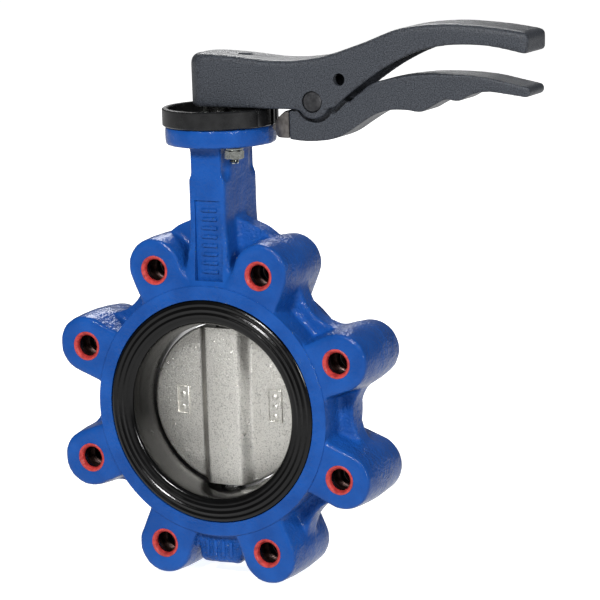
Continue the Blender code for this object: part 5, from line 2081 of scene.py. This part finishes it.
@dataclass
class Trigger:
    """The squeeze grip, forked round its pin, with finger scallops and its latch tooth."""

    paint: Paintbox
    half_width: float = 0.0114
    front_x: float = 0.0505
    pin: Point2 = (0.0675, 0.0048)
    ear: float = 0.0094
    pin_hole: float = 0.0063
    fork_half: float = 0.00456
    ear_half_width: float = 0.0085
    lobe: float = 0.0102
    lobe_room: float = 0.0022
    tail_half_width: float = 0.0060
    tail_length: float = 0.0045
    tail_heights: Point2 = (-0.0165, -0.0040)
    face_gap: float = 0.0006
    foot_rise: float = 0.0008
    front_top: float = -0.0012
    fork_room: float = 0.0096
    side_room: float = 0.002
    height_above: float = 0.03
    plate_gap: float = 0.0006
    tooth_tip_x: float = 0.03475
    tooth_voxel: float = 0.00035
    tooth_rounding: int = 4
    tooth_reach: Point2 = (-0.04, 0.01)
    voxel: float = 0.00075
    rounding: int = 13
    top_line: tuple[Point2, ...] = (
        (0.0889, 0.0048), (0.0965, 0.0108), (0.1040, 0.0159), (0.1154, 0.0190), (0.1283, 0.0210),
        (0.1412, 0.0220), (0.1570, 0.0219), (0.1727, 0.0208), (0.1851, 0.0185), (0.1960, 0.0163))
    under_line: tuple[Point2, ...] = (
        (0.1974, 0.0099), (0.1835, 0.0117), (0.1741, 0.0125), (0.1647, 0.0108), (0.1567, 0.0070),
        (0.1488, 0.0075), (0.1407, 0.0037), (0.1334, 0.0002), (0.1246, 0.0010), (0.1149, 0.0008),
        (0.1051, -0.0020), (0.0951, -0.0079), (0.0850, -0.0142), (0.0750, -0.0175), (0.0616, -0.0187))
    lobe_room_line: tuple[Point2, ...] = (
        (0.0803, -0.0024), (0.0861, 0.0032), (0.0924, 0.0081), (0.0960, 0.0130), (0.0960, 0.0300))
    tooth_side: tuple[Point2, ...] = (
        (0.0128, -0.0014), (0.0050, -0.0074), (0.0000, -0.0118), (0.0022, -0.0150), (0.0075, -0.0172))
    tooth_plan: tuple[Point2, ...] = (
        (-0.0010, 0.0012), (0.0030, 0.0014), (0.0042, 0.0050), (0.0083, 0.0088), (0.0128, 0.0100))

    def __post_init__(self) -> None:
        """Reads the lever's underside, which the outline starts from, from the model."""
        self.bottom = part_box("lever_clamp_plate")[0][2] - self.plate_gap

    def raised(self, points: Iterable[Point2]) -> Outline:
        """Lifts outline points from the lever's underside to their height."""
        return [(x, self.bottom + z) for x, z in points]

    def outline(self) -> Outline:
        """The trigger from the side.

        Returns:
            The closed (x, z) outline.
        """
        pin_x, pin_rise = self.pin
        outline = [(self.front_x, self.bottom + self.under_line[-1][1] + self.foot_rise),
                   (self.front_x, self.bottom + self.front_top)]
        outline += arc((pin_x, self.bottom + pin_rise), self.ear, 200, 10, 30)
        outline += self.raised(smooth_line(self.top_line, 8))
        first, last = self.top_line[-1], self.under_line[0]
        tip = ((first[0] + last[0]) / 2, self.bottom + (first[1] + last[1]) / 2)
        outline += arc(tip, (first[1] - last[1]) / 2, 60, -60, 10)
        return outline + self.raised(smooth_line(self.under_line, 8))

    def make_grip(self) -> None:
        """Builds and hands over the grip."""
        grip = side_plate("squeeze_trigger", self.outline(), -self.half_width, self.half_width)
        soften(grip, self.voxel, self.rounding)
        pin_x, pin_rise = self.pin
        pin_z = self.bottom + pin_rise
        room, gap = self.fork_room, CLEARANCE
        side = self.tail_half_width + gap
        wide = self.half_width + self.side_room
        cuts = [
            rod("pin_hole", self.pin_hole, -wide, wide, Axis.PIPE, (pin_x, pin_z)),
            block("fork", (pin_x - room, -self.fork_half, pin_z - room),
                  (pin_x + room, self.fork_half, pin_z + self.height_above)),
            block("tooth_slot", (self.front_x - BEYOND, -side, self.bottom + self.tail_heights[0] - gap),
                  (self.front_x + self.tail_length + gap, side, self.bottom + self.tail_heights[1] + gap)),
            side_plate("lobe_room", self.lobe_room_outline(), -wide, -self.ear_half_width),
            side_plate("lobe_room", self.lobe_room_outline(), self.ear_half_width, wide),
        ]
        combine(grip, cuts, Cut.REMOVE)
        hand_over(shade(grip), Carrier.TRIGGER, ["trigger"], self.paint.slate)

    def lobe_room_outline(self) -> Outline:
        """What is taken off both flanks, so that they clear the lever's lobe.

        Returns:
            The closed (x, z) outline.
        """
        (pin,) = self.raised([self.pin])
        outline = arc(pin, self.lobe + self.lobe_room, 180, 325, 40)
        outline += self.raised(self.lobe_room_line)
        return [*outline, (outline[0][0], outline[-1][1])]

    def make_tooth(self) -> None:
        """Builds and hands over the latch tooth."""
        side = self.raised((self.tooth_tip_x + x, z) for x, z in smooth_line(self.tooth_side, 5))
        face = self.front_x - self.face_gap
        tail = self.front_x + self.tail_length
        widest = self.tooth_plan[-1][1]
        tooth = side_plate("latch_nose", [(face, side[0][1]), *side, (face, side[-1][1])],
                           -widest, widest)
        flank = [(self.tooth_tip_x + x, half) for x, half in smooth_line(self.tooth_plan, 5)]
        flank.append((tail, widest + BURIED))
        below, above = self.tooth_reach
        plan = plan_plate("tooth_plan", [*flank, *((x, -half) for x, half in reversed(flank))],
                          self.bottom + below, self.bottom + above)
        combine(tooth, [plan], Cut.KEEP_COMMON, "EXACT")
        low, high = (self.bottom + height for height in self.tail_heights)
        stem = block("tooth_tail", (face - BURIED, -self.tail_half_width, low),
                     (tail, self.tail_half_width, high))
        combine(tooth, [stem], Cut.JOIN)
        soften(tooth, self.tooth_voxel, self.tooth_rounding)
        hand_over(shade(tooth), Carrier.TRIGGER, ["latch_tooth"], self.paint.tooth)

    def make(self) -> None:
        """Builds the trigger's pieces."""
        self.make_grip()
        self.make_tooth()


# ---- inner pieces --------------------------------------------------------------------------------


@dataclass
class InnerPieces:
    """The stems, bushes, seals and clamp plate, which keep the model's own shape."""

    paint: Paintbox

    def make(self) -> None:
        """Gives each node that stays its finish."""
        finishes = {
            "upper_stem": self.paint.steel, "lower_stem": self.paint.steel,
            "upper_bush": self.paint.bronze, "middle_bush": self.paint.bronze,
            "lower_bush": self.paint.bronze,
            "upper_o_ring": self.paint.rubber, "middle_o_ring": self.paint.rubber,
            "lower_o_ring": self.paint.rubber, "lower_thrust_pad": self.paint.plastic,
            "stem_retaining_ring": self.paint.zinc, "lever_clamp_plate": self.paint.zinc,
            "trigger_spring": self.paint.wire,
        }
        for name, material in finishes.items():
            node = frame["nodes"][name]
            node.data.materials.clear()
            node.data.materials.append(material)
            log.info("%s keeps its shape", name)


# ---- studio --------------------------------------------------------------------------------------


@dataclass
class Studio:
    """A white floor, soft lights and the camera."""

    azimuth: float = 26.67
    elevation: float = 10.66
    roll: float = -1.75
    target: tuple[float, float, float] = (0.0486, 0.0, 0.06545)
    distance: float = 1.6616
    lens: float = 170.04
    sensor_width: float = 36.0
    far_clip: float = 60.0
    floor_reach: float = 30.0
    floor_tone: Tone = Tone(0.5, 2, 0.3, 0.7)
    floor_shade: Colour = (0.90, 0.90, 0.90)
    floor_white: Colour = (0.92, 0.92, 0.915)
    floor_roughness: float = 0.9
    floor_glow: float = 0.90
    dim: float = 0.10
    bright: float = 0.14
    bounce: float = 0.86
    front_to_back: Point2 = (-0.6, 0.5)
    level_to_low: Point2 = (0.02, -0.30)
    lamps: tuple[tuple[str, tuple[float, float, float], float, float], ...] = (
        ("key", (0.15, -2.2, 1.5), 0.45, 62), ("fill", (2.1, -1.3, 0.9), 0.45, 26),
        ("back", (-1.0, 1.8, 1.5), 0.6, 20))

    def camera(self) -> None:
        """Places the camera."""
        azimuth, elevation = math.radians(self.azimuth), math.radians(self.elevation)
        backward = Vector((math.sin(azimuth) * math.cos(elevation),
                           -math.cos(azimuth) * math.cos(elevation), math.sin(elevation)))
        level = Vector((math.cos(azimuth), math.sin(azimuth), 0))
        upward = backward.cross(level)
        roll = math.radians(self.roll)
        right = level * math.cos(roll) + upward * math.sin(roll)
        up = upward * math.cos(roll) - level * math.sin(roll)
        data = bpy.data.cameras.new("camera")
        data.lens = self.lens
        data.sensor_width = self.sensor_width
        data.clip_end = self.far_clip
        camera = bpy.data.objects.new("camera", data)
        turn = Matrix((right, up, backward)).transposed().to_4x4()
        camera.matrix_world = Matrix.Translation(Vector(self.target) + backward * self.distance) @ turn
        bpy.context.scene.collection.objects.link(camera)
        bpy.context.scene.camera = camera

    def light(self, name: str, place: tuple[float, float, float], size: float, power: float) -> None:
        """Adds a soft square light that faces the valve.

        Args:
            name: Its name.
            place: Where it stands.
            size: Side of the square.
            power: Watts.
        """
        data = bpy.data.lights.new(name, "AREA")
        data.size = size
        data.energy = power
        lamp = bpy.data.objects.new(name, data)
        direction = Vector(self.target) - Vector(place)
        facing = direction.to_track_quat("-Z", "Y").to_matrix().to_4x4()
        lamp.matrix_world = Matrix.Translation(place) @ facing
        bpy.context.scene.collection.objects.link(lamp)

    def floor(self, level: float) -> None:
        """Lays the floor under the lowest lugs.

        Args:
            level: Its height.
        """
        far = self.floor_reach
        floor = block("floor", (-far, -far, level - BEYOND), (far, far, level))
        look = Shading("floor_white")
        look.paint(self.floor_tone, self.floor_shade, self.floor_white)
        look.set(Roughness=self.floor_roughness, Emission_Color=(1.0, 1.0, 1.0, 1.0),
                 Emission_Strength=self.floor_glow)
        floor.data.materials.append(look.material)
        floor.visible_diffuse = False
        floor.visible_glossy = False
        floor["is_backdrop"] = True

    def world(self) -> None:
        """A white surround: dim before the valve, brighter behind it and below it."""
        world = bpy.data.worlds.new("surround")
        world.use_nodes = True
        tree = world.node_tree
        place = tree.nodes.new("ShaderNodeTexCoord").outputs["Generated"]
        split = tree.nodes.new("ShaderNodeSeparateXYZ")
        tree.links.new(place, split.inputs[0])
        fades = []
        for axis, reach, low, high in (("Y", self.front_to_back, self.dim, self.bright),
                                       ("Z", self.level_to_low, 0.0, self.bounce)):
            fade = tree.nodes.new("ShaderNodeMapRange")
            fade.interpolation_type = "SMOOTHSTEP"
            for name, number in (("From Min", reach[0]), ("From Max", reach[1]),
                                 ("To Min", low), ("To Max", high)):
                fade.inputs[name].default_value = number
            tree.links.new(split.outputs[axis], fade.inputs["Value"])
            fades.append(fade.outputs[0])
        total = tree.nodes.new("ShaderNodeMath")
        for source, socket in zip(fades, total.inputs):
            tree.links.new(source, socket)
        background = tree.nodes["Background"]
        background.inputs["Color"].default_value = (1.0, 1.0, 1.0, 1.0)
        tree.links.new(total.outputs[0], background.inputs["Strength"])
        bpy.context.scene.world = world

    def make(self, floor_level: float) -> None:
        """Sets up the whole studio.

        Args:
            floor_level: Height of the floor.
        """
        self.camera()
        self.floor(floor_level)
        self.world()
        for lamp in self.lamps:
            self.light(*lamp)
        bpy.context.scene.view_settings.view_transform = "Standard"


def main() -> None:
    """Builds the valve's sub-assemblies in order."""
    logging.basicConfig(level=logging.INFO, format="%(message)s")
    model_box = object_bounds()
    Studio().make(model_box[0][2])
    paint = Paintbox()
    for assembly in (BodyCasting(paint), SeatLiner(paint), Disc(paint), NotchPlate(paint),
                     PlateFasteners(paint), Lever(paint), LeverHardware(paint), Trigger(paint),
                     InnerPieces(paint)):
        assembly.make()


if __name__ == "__main__":
    main()
